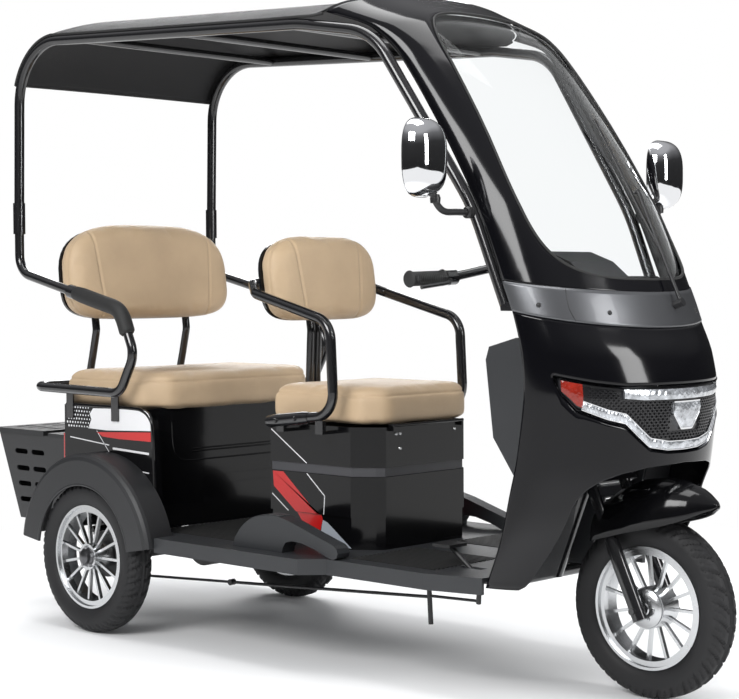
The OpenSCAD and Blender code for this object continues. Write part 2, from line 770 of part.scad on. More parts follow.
module windshield_glass() {
  rows = [-84, -70, -50, -30, -12, 8, 30, 52, 70, 84];
  grid = function (t) [for (r = rows) [for (c = [-1 : 0.125 : 1])
    cap_point([c * window_a(r, glass_lap) , window_b(r, glass_lap)], t)]];
  color([0.8, 0.85, 0.88, 0.35])
    placed()
      shell_grid(grid(surround_t + 4), grid(surround_t + 4 + glass_t));
}

module windshield_band() {
  grid = function (t) [for (v = [cowl_top_v + 0.003, 6.25, 6.5, 6.75, band_top_v - 0.003])
    [for (a = cowl_angles) front_at(v, a, t)]];
  color("#55565c")
    placed()
      shell_grid(grid(-2), grid(2));
}

module wiper() {
  color("#141416")
    placed() {
      bar(front_at(6.6, 9, -2.3), front_at(6.6, 9, -26), 10);
      bar(front_at(6.6, 9, -20), front_at(8.2, 11, -16), 4.5);
      bar(front_at(7.5, 10, -11), front_at(9.2, 12, -11), 4);
      bar(front_at(8.2, 11, -18), front_at(8.2, 11, -6), 4);
    }
}

module cowl() {
  rows = [0, 0.5, 1, 1.5, 2, 2.5, 3, 3.25, 3.5, 3.75, 4, 4.25, 4.5, 5, 5.5, cowl_top_v - 0.003];
  grid = function (t) [for (v = rows) [for (a = cowl_angles) front_at(v, a, t)]];
  arch = function (t) [for (k = [0 : 4]) [for (a = [-66.3 : 5.11 : 66.6])
    front_at(-0.6 + (lookup(abs(a), arch_levels) + 0.6) * k / 4, a, t)]];
  color("#0a0a0c")
    placed()
      difference() {
        shell_grid(grid(0), grid(cowl_t));
        shell_grid(arch(-14), arch(18));
        shell_grid(cluster_grid(-14, 0.012, 1.01, 0.13), cluster_grid(18, 0.012, 1.01, 0.13));
      }
}

shield_half = 304;
module leg_shield() {
  back = [for (v = [0 : 1 : 7]) [level(v, 0) + 3, level(v, 1)]];
  front = [for (v = [7 : -1 : 0]) [level(v, 0) + 7, level(v, 1)]];
  color("#232427")
    placed()
      difference() {
        translate([0, shield_half, 0])
          rotate([90, 0, 0])
            linear_extrude(height = 2 * shield_half)
              polygon(concat(back, front));
        translate([1300, -glove_half - 1, 434])
          cube([200, 2 * glove_half + 2, 380]);
        translate([1300, -61, 200])
          cube([200, 122, 300]);
      }
}

glove_half = 200;
module glove_box() {
  color("#3b3c40")
    placed()
      difference() {
        union() {
          translate([0, glove_half, 0])
            rotate([90, 0, 0])
              linear_extrude(height = 2 * glove_half)
                polygon([[1250, 800], [1240, 770], [1262, 590], [1330, 495], [1372, 436], [1391, 436], [1404, 480],
                  [1424, 560], [1442, 700], [1436, 800], [1330, 822]]);
          translate([0, 60, 0])
            rotate([90, 0, 0])
              linear_extrude(height = 120)
                polygon([[1255, floor_z + seat_gap], [1300, 520], [1393, 440], [1380, 378], [1342, floor_z + seat_gap]]);
        }
        translate([0, glove_half - 4, 0])
          rotate([90, 0, 0])
            linear_extrude(height = 2 * glove_half - 8)
              polygon([[1254, 798], [1244.5, 770], [1266, 591], [1333, 497], [1375, 440], [1500, 440],
                [1500, 805], [1329, 817]]);
        translate([0, 54, 0])
          rotate([90, 0, 0])
            linear_extrude(height = 108)
              polygon([[1262, floor_z - 5], [1304, 510], [1420, 510], [1420, 430], [1400, floor_z - 5]]);
        bar(on_axis(600), on_axis(720), stem_r + 8);
      }
}

module dash() {
  color("#18181a")
    placed() {
      translate([0, 270, 0])
        rotate([90, 0, 0])
          linear_extrude(height = 540)
            polygon([[1370, 952.5], [1370, 962], [1394, 962], [1478, 920], [1478, 911], [1394, 952.5]]);
      translate([0, 85, 0])
        rotate([90, 0, 0])
          linear_extrude(height = 170)
            polygon([[1303, 985], [1306, 1010], [1330, 1020], [1395, 996], [1440, 960], [1440, 934], [1392, 957],
              [1340, 960]]);
    }
}

module headlamp_housing() {
  color("#17181a")
    placed()
      difference() {
        union() {
          shell_grid(cluster_grid(0.5, 0, 1), cluster_grid(housing_depth, 0, 1));
          shell_grid(cluster_grid(cowl_t + 0.7, 0.09, 1.04, 0.17), cluster_grid(cowl_t + 5, 0.09, 1.04, 0.17));
        }
        shell_grid(cluster_grid(-6, -0.035, 0.985, 0.11),
          cluster_grid(housing_depth - housing_floor_t, -0.035, 0.985, 0.11));
      }
}

module lamp_lenses() {
  seat = housing_depth - housing_floor_t - 0.8;
  u_low = [for (p = cluster_low) [p[0], p[1] + 0.07]];
  u_top = [for (p = cluster_low) [p[0], p[1] + 0.21]];
  u_angles = [for (a = cowl_angles) if (abs(a) < 56) a];
  top_angles = [for (a = cowl_angles) if (abs(a) < 36) a];
  color("#e6e8ea")
    placed() {
      shell_grid(lens_grid(3, u_angles, u_low, u_top), lens_grid(seat, u_angles, u_low, u_top));
      shell_grid(lens_grid(3, top_angles, [[0, 3.97]], [[0, 4.2]]), lens_grid(seat, top_angles, [[0, 3.97]], [[0, 4.2]]));
      shell_grid(lens_grid(2, [-11, -5.5, 0, 5.5, 11], [[0, 3.46]], [[0, 3.9]]),
        lens_grid(seat, [-11, -5.5, 0, 5.5, 11], [[0, 3.46]], [[0, 3.9]]));
    }
}

module indicators() {
  seat = housing_depth - housing_floor_t - 0.8;
  low = [[57, 3.93], [63.5, 4.07], [67, 4.22]];
  top = [[57, 4.24], [67, 4.31]];
  color("#ff5a1e")
    placed() {
      shell_grid(lens_grid(2.5, [57, 59.5, 63.5, 66], low, top), lens_grid(seat, [57, 59.5, 63.5, 66], low, top));
      shell_grid(lens_grid(2.5, [-66, -63.5, -59.5, -57], low, top), lens_grid(seat, [-66, -63.5, -59.5, -57], low, top));
    }
}

module tail_lamps() {
  color("#a01818")
    placed()
      for (s = [-1, 1])
        translate([-206, s * (box_half + 12) - 12, 440])
          cube([15.7, 24, 90]);
}

module mirrors() {
  color("#b9bdc2")
    placed()
      for (s = [-1, 1]) {
        difference() {
          hull()
            for (y = [-24, 24])
              for (z = [-1, 1])
                translate([1285, s * mirror_y + y, 1222 + z * (mirror_h / 2 - 38)])
                  sphere(r = 38, $fn = 20);
          translate([1230, s * mirror_y - 70, 1110])
            cube([40, 140, 230]);
        }
        tube_path([[1293, s * 316.8, 1105], [1290, s * 402, 1105], [1288, s * 447, 1170]], 7, [25]);
        bar([1293, s * 316.8, 1105], [1292.4, s * 332, 1105], 13);
      }
}

driver_seat_front = 890;
driver_seat_z = 600;
seat_pin_x = driver_seat_front - 6;
seat_pin_z = driver_seat_z - 6;
seat_pin_r = 4;
// Plan of the driver's seat box, set in by d
function seat_box_plan(d) = [[518 + d, -205 + d], [807 - d * 0.4, -205 + d], [858 - d * 0.7, -166 + d * 0.7],
  [875 - d, -148 + d * 0.4], [875 - d, 148 - d * 0.4], [858 - d * 0.7, 166 - d * 0.7], [807 - d * 0.4, 205 - d],
  [518 + d, 205 - d]];
// Bottom, top and set-in of each course of the seat box
seat_box_courses = [[floor_z + seat_gap, 364, 4], [364, 466, 0], [466, 490, 4], [490, 590, 0]];
module driver_seat_base() {
  color("#0d0d0f")
    placed() {
      difference() {
        union() {
          for (q = seat_box_courses)
            translate([0, 0, q[0]])
              linear_extrude(height = q[1] - q[0])
                polygon(seat_box_plan(q[2]));
        }
        translate([0, 0, floor_z - 1])
          linear_extrude(height = 587 - floor_z)
            polygon(seat_box_plan(8));
      }
      for (s = [-1, 1])
        translate([870, s * 130 - 3, 580])
          cube([seat_pin_x - 867, 6, seat_pin_z - 577]);
      bar([seat_pin_x, -134, seat_pin_z], [seat_pin_x, 134, seat_pin_z], seat_pin_r);
    }
}

module driver_seat_cushion() {
  color("#cfb48f")
    placed()
      difference() {
        union() {
          seat_pad(driver_seat_front - driver_seat_depth, driver_seat_front, driver_seat_half, 56, driver_seat_z, cushion_t);
          for (s = [-1, 1])
            bar([seat_pin_x, s * 85, seat_pin_z], [seat_pin_x, s * 120, seat_pin_z], 7);
        }
        bar([seat_pin_x, -150, seat_pin_z], [seat_pin_x, 150, seat_pin_z], seat_pin_r + run_gap);
      }
}

module driver_backrest() {
  color("#cfb48f")
    placed()
      translate([490, 0, 965])
        rotate([0, -8, 0])
          translate([-20, 0, 0])
            back_pad(200, 116, 122, 66);
}

module driver_backrest_frame() {
  color("#151516")
    placed() {
      translate([490, 0, 965])
        rotate([0, -8, 0])
          translate([-28, 0, 0])
            rotate([90, 0, 90])
              linear_extrude(height = 7.7)
                polygon(back_outline(200, 116, 122, 9));
      for (s = [-1, 1])
        tube_path([[464.7, s * 14, 901], [475.8, s * 14, 822], [470, s * 14, 700], [470, s * 14, 556], [517.7, s * 14, 556]], 10, [50, 60, 25]);
    }
}

driver_arm_points = [[449.9, 30, 950], [449.9, 200, 950], [510, 246, 922], [778, 246, 852], [790, 246, 622],
  [560, 246, 596]];
module driver_arms() {
  color("#141416")
    placed()
      for (s = [-1, 1]) {
        tube_path(side_points(driver_arm_points, s), arm_d / 2, [26, 30, 60, 60]);
        for (x = [590, 730])
          mirror([0, s > 0 ? 0 : 1, 0]) {
            translate([x, 205.3, 572])
              cube([26, 42, 6]);
            translate([x, 240, 572])
              cube([26, 12, 34]);
          }
      }
}

module brake_pedal() {
  z0 = frame_z;
  color("#8c8f94")
    placed() {
      translate([1113, -245, 328])
        cube([54, 62, 7]);
      bar([1140, -214, 330], [1232, -214, z0 + 6], 6);
      bar([1232, -230, z0], [1232, -169.4, z0], 8);
      bar([1232, -214, z0], [1222, -206, 200], 6);
      bar([1220, -206, 206], [1068, -203, 200], 3.5);
      bar([1066, -222, z0], [1066, -169.4, z0], 8);
      bar([1066, -206, z0], [1070, -202, 132], 6);
      bar([1066, -206, 198], [420, -249.7, 166.2], 4);
      bar([415, -258, 166], [415, -242, 166], 8);
      bar([410, -250.2, 165.7], [62, -268, 148], 3.5);
      bar([62, -270, 148], [26, -278, 190], 6);
      bar([26, -272, 190], [26, -293.6, 190], 7);
    }
}

// Steering pieces are drawn upright at the front axle, with the axis along Z
crown_z = 300;
fork_tube_r = 13;
stem_top = 850;
bar_s = 868;
module fork() {
  color("#17181a")
    placed()
      steered() {
        for (s = [-1, 1]) {
          translate([0, s * fork_leg_y, -24])
            cylinder(r = fork_leg_d / 2, h = 192);
          translate([0, s * fork_leg_y, 160])
            cylinder(r = fork_tube_r, h = crown_z - 158);
        }
        translate([-25, -fork_leg_y - 20, crown_z])
          cube([50, 2 * fork_leg_y + 40, 18]);
        translate([0, 0, crown_z])
          cylinder(r = stem_r, h = stem_top - crown_z);
        rotate([90, 0, 0])
          cylinder(r = axle_d / 2, h = 2 * fork_leg_y + fork_leg_d + 14, center = true);
      }
}

// Front fender, from its tip back: x from the axle, height of the middle and of the lower edge, half width
hood_stations = [[172, 456, 449, 6], [152, 472, 438, 30], [125, 489, 424, 54], [80, 504, 408, 74],
  [35, 506, 396, 82], [-21, 498, 383, 86], [-75, 476, 368, 86], [-118, 446, 356, 84]];
// Cross profile of the hood: share of the half width, share of the rise
hood_profile = [[-1, 0], [-0.95, 0.36], [-0.8, 0.66], [-0.52, 0.86], [-0.22, 0.96], [0, 1], [0.22, 0.96],
  [0.52, 0.86], [0.8, 0.66], [0.95, 0.36], [1, 0]];
module front_fender() {
  grid = function (t) [for (h = hood_stations) [for (q = hood_profile)
    [wheelbase + h[0] - (t > 0 ? 4 : 0), q[0] * max(h[3] - t, 1),
      h[2] + q[1] * (h[1] - h[2]) - (t > 0 ? t * 0.5 + t * 0.5 * q[1] : 0)]]];
  color("#1a1a1c")
    placed()
      difference() {
        shell_grid(grid(0), grid(3));
        for (s = [-1, 1])
          translate([0, s * fork_leg_y, 0])
            bar(on_axis(150), on_axis(320), fork_tube_r + seat_gap);
      }
}

bar_mid = on_axis(bar_s);
grip_dir = unit([-8, 137, -4]);
module handlebar() {
  end_x = wheelbase - 457;
  bend_x = wheelbase - 449;
  pts = [[end_x, -bar_half, 957], [bend_x, -185, 961], [bar_mid[0], -55, bar_mid[2]],
    [bar_mid[0], 55, bar_mid[2]], [bend_x, 185, 961], [end_x, bar_half, 957]];
  color("#17181a")
    placed()
      difference() {
        union() {
          tube_path(pts, bar_d / 2, [60, 50, 50, 60]);
          bar(on_axis(808), on_axis(bar_s + 16), 22);
          for (s = [-1, 1]) {
            bar([bend_x - 1.4, s * 209, 960.3], [bend_x + 0.8, s * 172, 961.4], 18);
            bar([bend_x + 9, s * 196, 956], [bend_x + 31, s * 228, 948], 6);
            bar([bend_x + 31, s * 228, 948], [bend_x + 21, s * 312, 938], 5);
          }
        }
        bar(on_axis(800), on_axis(stem_top + seat_gap), stem_r + seat_gap);
      }
}

frame();
rear_axle();
battery();
floor_tray();
step_guards();
rear_seat_base();
rear_fenders();
luggage_box();
luggage_cover();
rear_seat_cushion();
rear_backrest();
rear_backrest_frame();
rear_arms();
roof_rail_left();
roof_rail_right();
roof_cross_tubes();
roof_skin();
windshield_surround();
windshield_glass();
windshield_band();
wiper();
cowl();
leg_shield();
glove_box();
dash();
headlamp_housing();
lamp_lenses();
indicators();
tail_lamps();
mirrors();
driver_seat_base();
driver_seat_cushion();
driver_backrest();
driver_backrest_frame();
driver_arms();
brake_pedal();
fork();
front_fender();
handlebar();
front_tyre();
front_rim();
rear_tyre_left();
rear_rim_left();
rear_tyre_right();
rear_rim_right();
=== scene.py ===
# Looks of the electric passenger tricycle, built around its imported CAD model. Metres, +X forward, +Z up.
import math

import bmesh
import bpy
import numpy as np
from mathutils import Matrix, Vector


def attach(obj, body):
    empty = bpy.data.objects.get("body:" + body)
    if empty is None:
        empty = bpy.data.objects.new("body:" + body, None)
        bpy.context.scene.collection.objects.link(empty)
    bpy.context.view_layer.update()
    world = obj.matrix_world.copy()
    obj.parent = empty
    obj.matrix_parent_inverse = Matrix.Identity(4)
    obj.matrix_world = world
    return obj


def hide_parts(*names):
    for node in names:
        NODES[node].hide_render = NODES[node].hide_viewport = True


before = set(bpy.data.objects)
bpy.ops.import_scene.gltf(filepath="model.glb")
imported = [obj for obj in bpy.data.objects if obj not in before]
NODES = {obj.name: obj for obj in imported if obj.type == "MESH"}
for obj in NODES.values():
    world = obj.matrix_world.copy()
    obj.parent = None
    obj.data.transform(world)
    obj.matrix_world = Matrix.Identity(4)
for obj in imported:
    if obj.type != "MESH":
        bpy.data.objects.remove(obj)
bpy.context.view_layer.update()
MID = 0.60775          # rear axle lies this far behind the origin
TYRE_R = 0.2075
TRACK_HALF = 0.373
WHEELBASE = 1.570


def at(x, y, z):
    """A point given from the rear axle."""
    return Vector((x - MID, y, z))


# Materials
COAT_ROUGH = 0.04
BUMP_DEPTH = 0.001     # metres


def material(name, color, rough=0.5, metal=0.0, coat=0.0, trans=0.0, ior=1.5, sheen=0.0, vary=0.06,
             vary_scale=6.0, rough_vary=0.08, bumps=(), spec=0.5):
    """A procedural material: colour and roughness vary softly, bumps is a list of (kind, scale, strength)."""
    m = bpy.data.materials.new(name)
    m.use_nodes = True
    nt = m.node_tree
    b = nt.nodes["Principled BSDF"]
    b.inputs["Metallic"].default_value = metal
    b.inputs["Coat Weight"].default_value = coat
    b.inputs["Coat Roughness"].default_value = COAT_ROUGH
    b.inputs["Transmission Weight"].default_value = trans
    b.inputs["IOR"].default_value = ior
    b.inputs["Sheen Weight"].default_value = sheen
    b.inputs["Specular IOR Level"].default_value = spec
    co = nt.nodes.new("ShaderNodeTexCoord")
    noise = nt.nodes.new("ShaderNodeTexNoise")
    noise.inputs["Scale"].default_value = vary_scale
    noise.inputs["Detail"].default_value = 5
    nt.links.new(co.outputs["Object"], noise.inputs["Vector"])
    ramp = nt.nodes.new("ShaderNodeValToRGB")
    lo = [max(0.0, c * (1 - vary)) for c in color]
    hi = [min(1.0, c * (1 + vary)) for c in color]
    ramp.color_ramp.elements[0].position = 0.3
    ramp.color_ramp.elements[0].color = (*lo, 1)
    ramp.color_ramp.elements[1].position = 0.7
    ramp.color_ramp.elements[1].color = (*hi, 1)
    nt.links.new(noise.outputs["Fac"], ramp.inputs["Fac"])
    nt.links.new(ramp.outputs["Color"], b.inputs["Base Color"])
    rr = nt.nodes.new("ShaderNodeMapRange")
    rr.inputs["To Min"].default_value = max(0.0, rough * (1 - rough_vary))
    rr.inputs["To Max"].default_value = min(1.0, rough * (1 + rough_vary))
    nt.links.new(noise.outputs["Fac"], rr.inputs["Value"])
    nt.links.new(rr.outputs["Result"], b.inputs["Roughness"])
    last = None
    for kind, scale, strength in bumps:
        if kind == "voronoi":
            t = nt.nodes.new("ShaderNodeTexVoronoi")
            out = t.outputs["Distance"]
        elif kind == "wave":
            t = nt.nodes.new("ShaderNodeTexWave")
            out = t.outputs["Fac"]
        else:
            t = nt.nodes.new("ShaderNodeTexNoise")
            t.inputs["Detail"].default_value = 6
            out = t.outputs["Fac"]
        t.inputs["Scale"].default_value = scale
        nt.links.new(co.outputs["Object"], t.inputs["Vector"])
        bump = nt.nodes.new("ShaderNodeBump")
        bump.inputs["Strength"].default_value = strength
        bump.inputs["Distance"].default_value = BUMP_DEPTH
        nt.links.new(out, bump.inputs["Height"])
        if last:
            nt.links.new(last.outputs["Normal"], bump.inputs["Normal"])
        last = bump
    if last:
        nt.links.new(last.outputs["Normal"], b.inputs["Normal"])
    return m


M = {
    "gloss_black": material("gloss_black", (0.003, 0.003, 0.004), 0.11, coat=0.12, spec=0.28, vary=0.1,
                            bumps=[("noise", 3, 0.02)]),
    "satin_grey": material("satin_grey", (0.016, 0.0165, 0.018), 0.46,
                           bumps=[("noise", 900, 0.25), ("voronoi", 500, 0.12)]),
    "guard_grey": material("guard_grey", (0.022, 0.0235, 0.026), 0.48, bumps=[("noise", 700, 0.3)]),
    # Windshield band: the real band is glossy black, and this grey metallic colour is a painted reflection
    "band_grey": material("band_grey", (0.115, 0.118, 0.125), 0.36, metal=0.75, coat=0.2,
                          bumps=[("noise", 60, 0.05)]),
    "black_steel": material("black_steel", (0.008, 0.008, 0.009), 0.2, coat=0.5, bumps=[("noise", 30, 0.03)]),
    "sheet_black": material("sheet_black", (0.003, 0.003, 0.0035), 0.13, coat=0.12, spec=0.28,
                            bumps=[("noise", 5, 0.04)]),
    "tan_leather": material("tan_leather", (0.475, 0.345, 0.215), 0.52, sheen=0.08, vary=0.06, vary_scale=9,
                            bumps=[("voronoi", 650, 0.35), ("noise", 16, 0.5)]),
    "tyre_rubber": material("tyre_rubber", (0.011, 0.011, 0.012), 0.62, spec=0.4, vary=0.2,
                            bumps=[("noise", 350, 0.3)]),
    "alloy": material("alloy", (0.56, 0.57, 0.58), 0.27, metal=1.0, bumps=[("noise", 200, 0.05)]),
    "alloy_dark": material("alloy_dark", (0.12, 0.12, 0.125), 0.35, metal=1.0, bumps=[("noise", 200, 0.05)]),
    "roof_grey": material("roof_grey", (0.008, 0.008, 0.009), 0.6, spec=0.35,
                          bumps=[("voronoi", 400, 0.3), ("noise", 900, 0.3)]),
    "clear_glass": material("clear_glass", (0.93, 0.95, 0.955), 0.02, trans=1.0, ior=1.12, vary=0.0,
                            rough_vary=0.0),
    "lamp_clear": material("lamp_clear", (0.52, 0.54, 0.57), 0.2, metal=0.7, coat=1.0, vary=0.35,
                           vary_scale=45, bumps=[("voronoi", 110, 1.0), ("wave", 70, 0.8)]),
    "amber": material("amber", (0.22, 0.012, 0.005), 0.2, coat=0.6, vary=0.25, vary_scale=40,
                      bumps=[("voronoi", 130, 0.9)]),
    "red_lens": material("red_lens", (0.35, 0.01, 0.01), 0.18, coat=1.0, bumps=[("voronoi", 160, 0.5)]),
    "chrome": material("chrome", (0.84, 0.85, 0.87), 0.05, metal=1.0, vary=0.02, bumps=[("noise", 40, 0.02)]),
    "mirror": material("mirror", (0.92, 0.93, 0.94), 0.02, metal=1.0, vary=0.0),
    "battery_grey": material("battery_grey", (0.05, 0.05, 0.05), 0.6, bumps=[("noise", 200, 0.2)]),
    "axle_black": material("axle_black", (0.012, 0.012, 0.013), 0.42, bumps=[("noise", 90, 0.15)]),
    "steel": material("steel", (0.34, 0.34, 0.35), 0.38, metal=1.0, bumps=[("noise", 150, 0.1)]),
    "grille": material("grille", (0.014, 0.014, 0.016), 0.3, coat=0.3, bumps=[("noise", 80, 0.1)]),
    "decal_white": material("decal_white", (0.66, 0.66, 0.67), 0.3, coat=0.3, vary=0.02,
                            bumps=[("noise", 400, 0.05)]),
    "decal_grey": material("decal_grey", (0.33, 0.36, 0.40), 0.3, coat=0.4, vary=0.03),
    "decal_red": material("decal_red", (0.46, 0.007, 0.007), 0.28, coat=0.3, vary=0.04,
                          bumps=[("noise", 400, 0.05)]),
    "panel_grey": material("panel_grey", (0.045, 0.045, 0.05), 0.4, bumps=[("noise", 300, 0.15)]),
    "rubber": material("rubber", (0.012, 0.012, 0.012), 0.65, bumps=[("noise", 500, 0.3)]),
}

NODE_MAT = {
    "frame": "black_steel", "rear_axle": "axle_black", "battery": "battery_grey", "floor_tray": "guard_grey",
    "step_guards": "guard_grey", "rear_seat_base": "sheet_black", "rear_fenders": "satin_grey",
    "luggage_box": "satin_grey", "luggage_cover": "satin_grey", "rear_backrest_frame": "black_steel",
    "rear_arms": "black_steel", "roof_rail_left": "black_steel", "roof_rail_right": "black_steel",
    "roof_cross_tubes": "black_steel", "wiper": "axle_black", "leg_shield": "satin_grey",
    "glove_box": "guard_grey", "dash": "axle_black", "tail_lamps": "red_lens",
    "driver_seat_base": "sheet_black",
    "driver_backrest_frame": "black_steel", "driver_arms": "black_steel", "brake_pedal": "axle_black",
    "fork": "black_steel", "handlebar": "black_steel", "front_rim": "alloy", "rear_rim_left": "alloy",
    "rear_rim_right": "alloy", "lamp_lenses": "lamp_clear", "indicators": "amber",
    "headlamp_housing": "grille",
}
for node, mat in NODE_MAT.items():
    obj = NODES[node]
    if not obj.data.materials:
        obj.data.materials.append(M[mat])
    for slot in obj.material_slots:
        slot.material = M[mat]


# Helpers that make meshes
def piece(name, verts, faces, mat, body="chassis", smooth=True, slot=None, replaces=(), angle=None):
    """Makes one piece of the scene; edges steeper than angle stay sharp."""
    me = bpy.data.meshes.new(name)
    me.from_pydata([tuple(v) for v in verts], [], [tuple(f) for f in faces])
    me.validate()
    me.update()
    ob = bpy.data.objects.new(name, me)
    bpy.context.scene.collection.objects.link(ob)
    me.materials.append(M[mat])
    if smooth:
        me.polygons.foreach_set("use_smooth", [True] * len(me.polygons))
        if angle:
            bm = bmesh.new()
            bm.from_mesh(me)
            for e in bm.edges:
                if len(e.link_faces) == 2 and e.calc_face_angle(0) > math.radians(angle):
                    e.smooth = False
            bm.to_mesh(me)
            bm.free()
    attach(ob, body)
    if replaces:
        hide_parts(*replaces)
    return ob


def grid_faces(n, m, ring=False):
    """Quads over n rows of m points, closed round each row where ring is set."""
    out = []
    for i in range(n - 1):
        for j in range(m if ring else m - 1):
            k = (j + 1) % m
            out.append((i * m + j, i * m + k, (i + 1) * m + k, (i + 1) * m + j))
    return out


def solidify(ob, t):
    mod = ob.modifiers.new("solid", "SOLIDIFY")
    mod.thickness = t
    mod.offset = -1.0
    mod.use_even_offset = False


def join_data(parts):
    """Joins lists of (verts, faces) into one."""
    verts, faces = [], []
    for v, f in parts:
        o = len(verts)
        verts += [tuple(p) for p in v]
        faces += [tuple(i + o for i in q) for q in f]
    return verts, faces


def box_data(lo, hi):
    x0, y0, z0 = lo
    x1, y1, z1 = hi
    v = [(x, y, z) for z in (z0, z1) for x, y in ((x0, y0), (x1, y0), (x1, y1), (x0, y1))]
    f = [(0, 3, 2, 1), (4, 5, 6, 7), (0, 1, 5, 4), (1, 2, 6, 5), (2, 3, 7, 6), (3, 0, 4, 7)]
    return v, f


def turned_data(profile, centre, axis=(0, 1, 0), seg=96):
    """Profile of (radius, along axis) turned about an axis through centre."""
    a = Vector(axis).normalized()
    h = Vector((0, 0, 1)) if abs(a.z) < 0.9 else Vector((1, 0, 0))
    x = a.cross(h).normalized()
    y = a.cross(x)
    c = Vector(centre)
    pts = []
    n = len(profile)
    for k in range(seg):
        t = 2 * math.pi * k / seg
        d = x * math.cos(t) + y * math.sin(t)
        pts += [c + d * r + a * s for r, s in profile]
    faces = []
    for k in range(seg):
        o, p = k * n, (k + 1) % seg * n
        for j in range(n - 1):
            faces.append((o + j, o + j + 1, p + j + 1, p + j))
    return pts, faces


def tube_data(points, r, seg=12, caps=True):
    """A round tube along points, whose radius may change."""
    pts = [Vector(p) for p in points]
    rad = r if isinstance(r, (list, tuple)) else [r] * len(pts)
    ref = Vector((0, 0, 1))
    verts, faces = [], []
    for i, p in enumerate(pts):
        d = (pts[min(i + 1, len(pts) - 1)] - pts[max(i - 1, 0)]).normalized()
        if abs(d.dot(ref)) > 0.95:
            ref = Vector((1, 0, 0))
        x = ref.cross(d).normalized()
        y = d.cross(x)
        ref = y
        verts += [p + (x * math.cos(2 * math.pi * k / seg) + y * math.sin(2 * math.pi * k / seg)) * rad[i]
                  for k in range(seg)]
    faces = grid_faces(len(pts), seg, ring=True)
    if caps:
        faces.append(tuple(range(seg - 1, -1, -1)))
        faces.append(tuple((len(pts) - 1) * seg + k for k in range(seg)))
    return verts, faces


def smooth_path(points, steps=8):
    """Catmull-Rom curve through points."""
    p = [np.array(q, float) for q in points]
    p = [2 * p[0] - p[1]] + p + [2 * p[-1] - p[-2]]
    out = []
    for i in range(1, len(p) - 2):
        for k in range(steps):
            t = k / steps
            a, b, c, d = p[i - 1:i + 3]
            out.append(0.5 * (2 * b + (c - a) * t + (2 * a - 5 * b + 4 * c - d) * t * t
                              + (3 * b - a - 3 * c + d) * t ** 3))
    out.append(p[-2])
    return [Vector(q) for q in out]


# Front bodywork
# One row per level, in mm: x and z at the sides, half width, x and z in the middle
LEVELS = np.array([
    [1330, 262, 310, 1530, 262], [1375, 378, 310, 1615, 378], [1400, 480, 310, 1640, 480],
    [1420, 560, 310, 1652, 560], [1440, 700, 310, 1664, 690], [1432, 800, 310, 1645, 780],
    [1408, 885, 310, 1612, 845], [1380, 952, 310, 1580, 925], [1306, 1120, 308, 1497, 1115],
    [1203, 1290, 305, 1378, 1290], [1080, 1467, 308, 1237, 1460], [1000, 1548, 330, 1120, 1572],
    [880, 1592, 356, 960, 1652]]) / 1000.0
# Levels of the wheel arch and of the lamp cluster's lower and upper edge, against the angle from the middle
ARCH = [(0, 2.82), (22, 2.75), (35, 2.6), (44, 2.4), (50, 2.15), (55, 1.8), (59.5, 0.9), (63.5, 0.1),
        (67.6, 0.0)]
C_LOW = [(0, 3.06), (11, 3.07), (21.5, 3.14), (28, 3.33), (35, 3.54), (44, 3.61), (59.5, 3.79), (67.6, 4.05),
         (71.5, 4.34)]
C_TOP = [(0, 4.29), (11, 4.29), (35, 4.27), (50, 4.33), (71.5, 4.46)]
CLUSTER_END = 71.5     # angle at which the cluster ends
COWL_TOP = 5.995
EDGE_GAP = 0.012       # levels between the cowl's edge and the cluster's
SHEET = 0.004


def table(a, t):
    """Value of table t at angle a, the same on both sides."""
    return float(np.interp(abs(a), [p[0] for p in t], [p[1] for p in t]))


def level(v):
    """Row of the front bodywork at level v, on a smooth curve through the rows."""
    v = min(max(v, 0.0), 12.0)
    i = min(int(v), 11)
    t = v - i
    p1, p2 = LEVELS[i], LEVELS[i + 1]
    p0 = LEVELS[i - 1] if i > 0 else 2 * p1 - p2
    p3 = LEVELS[i + 2] if i < 11 else 2 * p2 - p1
    m1, m2 = (p2 - p0) * 0.5, (p3 - p1) * 0.5
    lin = p1 + (p2 - p1) * t
    cub = (2 * t ** 3 - 3 * t ** 2 + 1) * p1 + (t ** 3 - 2 * t ** 2 + t) * m1
    cub = cub + (3 * t ** 2 - 2 * t ** 3) * p2 + (t ** 3 - t ** 2) * m2
    return 0.3 * lin + 0.7 * cub


def front_raw(v, a):
    r = level(v)
    c, s = math.cos(math.radians(a)), math.sin(math.radians(a))
    return Vector((r[0] + (r[3] - r[0]) * c - MID, r[2] * s, r[1] + (r[4] - r[1]) * c))


def front_at(v, a, t=0.0):
    """Point of the front bodywork, pushed in by t metres."""
    p = front_raw(v, a)
    if t:
        v0, v1 = max(v - 0.2, 0), min(v + 0.2, 12)
        across = front_raw(v, a + 2) - front_raw(v, a - 2)
        n = across.cross(front_raw(v1, a) - front_raw(v0, a)).normalized()
        p = p - n * t
    return p


def front_grid(rows, cols, t=0.0):
    """Grid over the front bodywork; rows(a) lists the levels at angle a."""
    n = len(rows(0))
    verts = []
    cache = [rows(a) for a in cols]
    for k in range(n):
        for j, a in enumerate(cols):
            verts.append(front_at(cache[j][k], a, t))
    return verts, grid_faces(n, len(cols))


def spread(a, b, n):
    return [a + (b - a) * k / (n - 1) for k in range(n)]


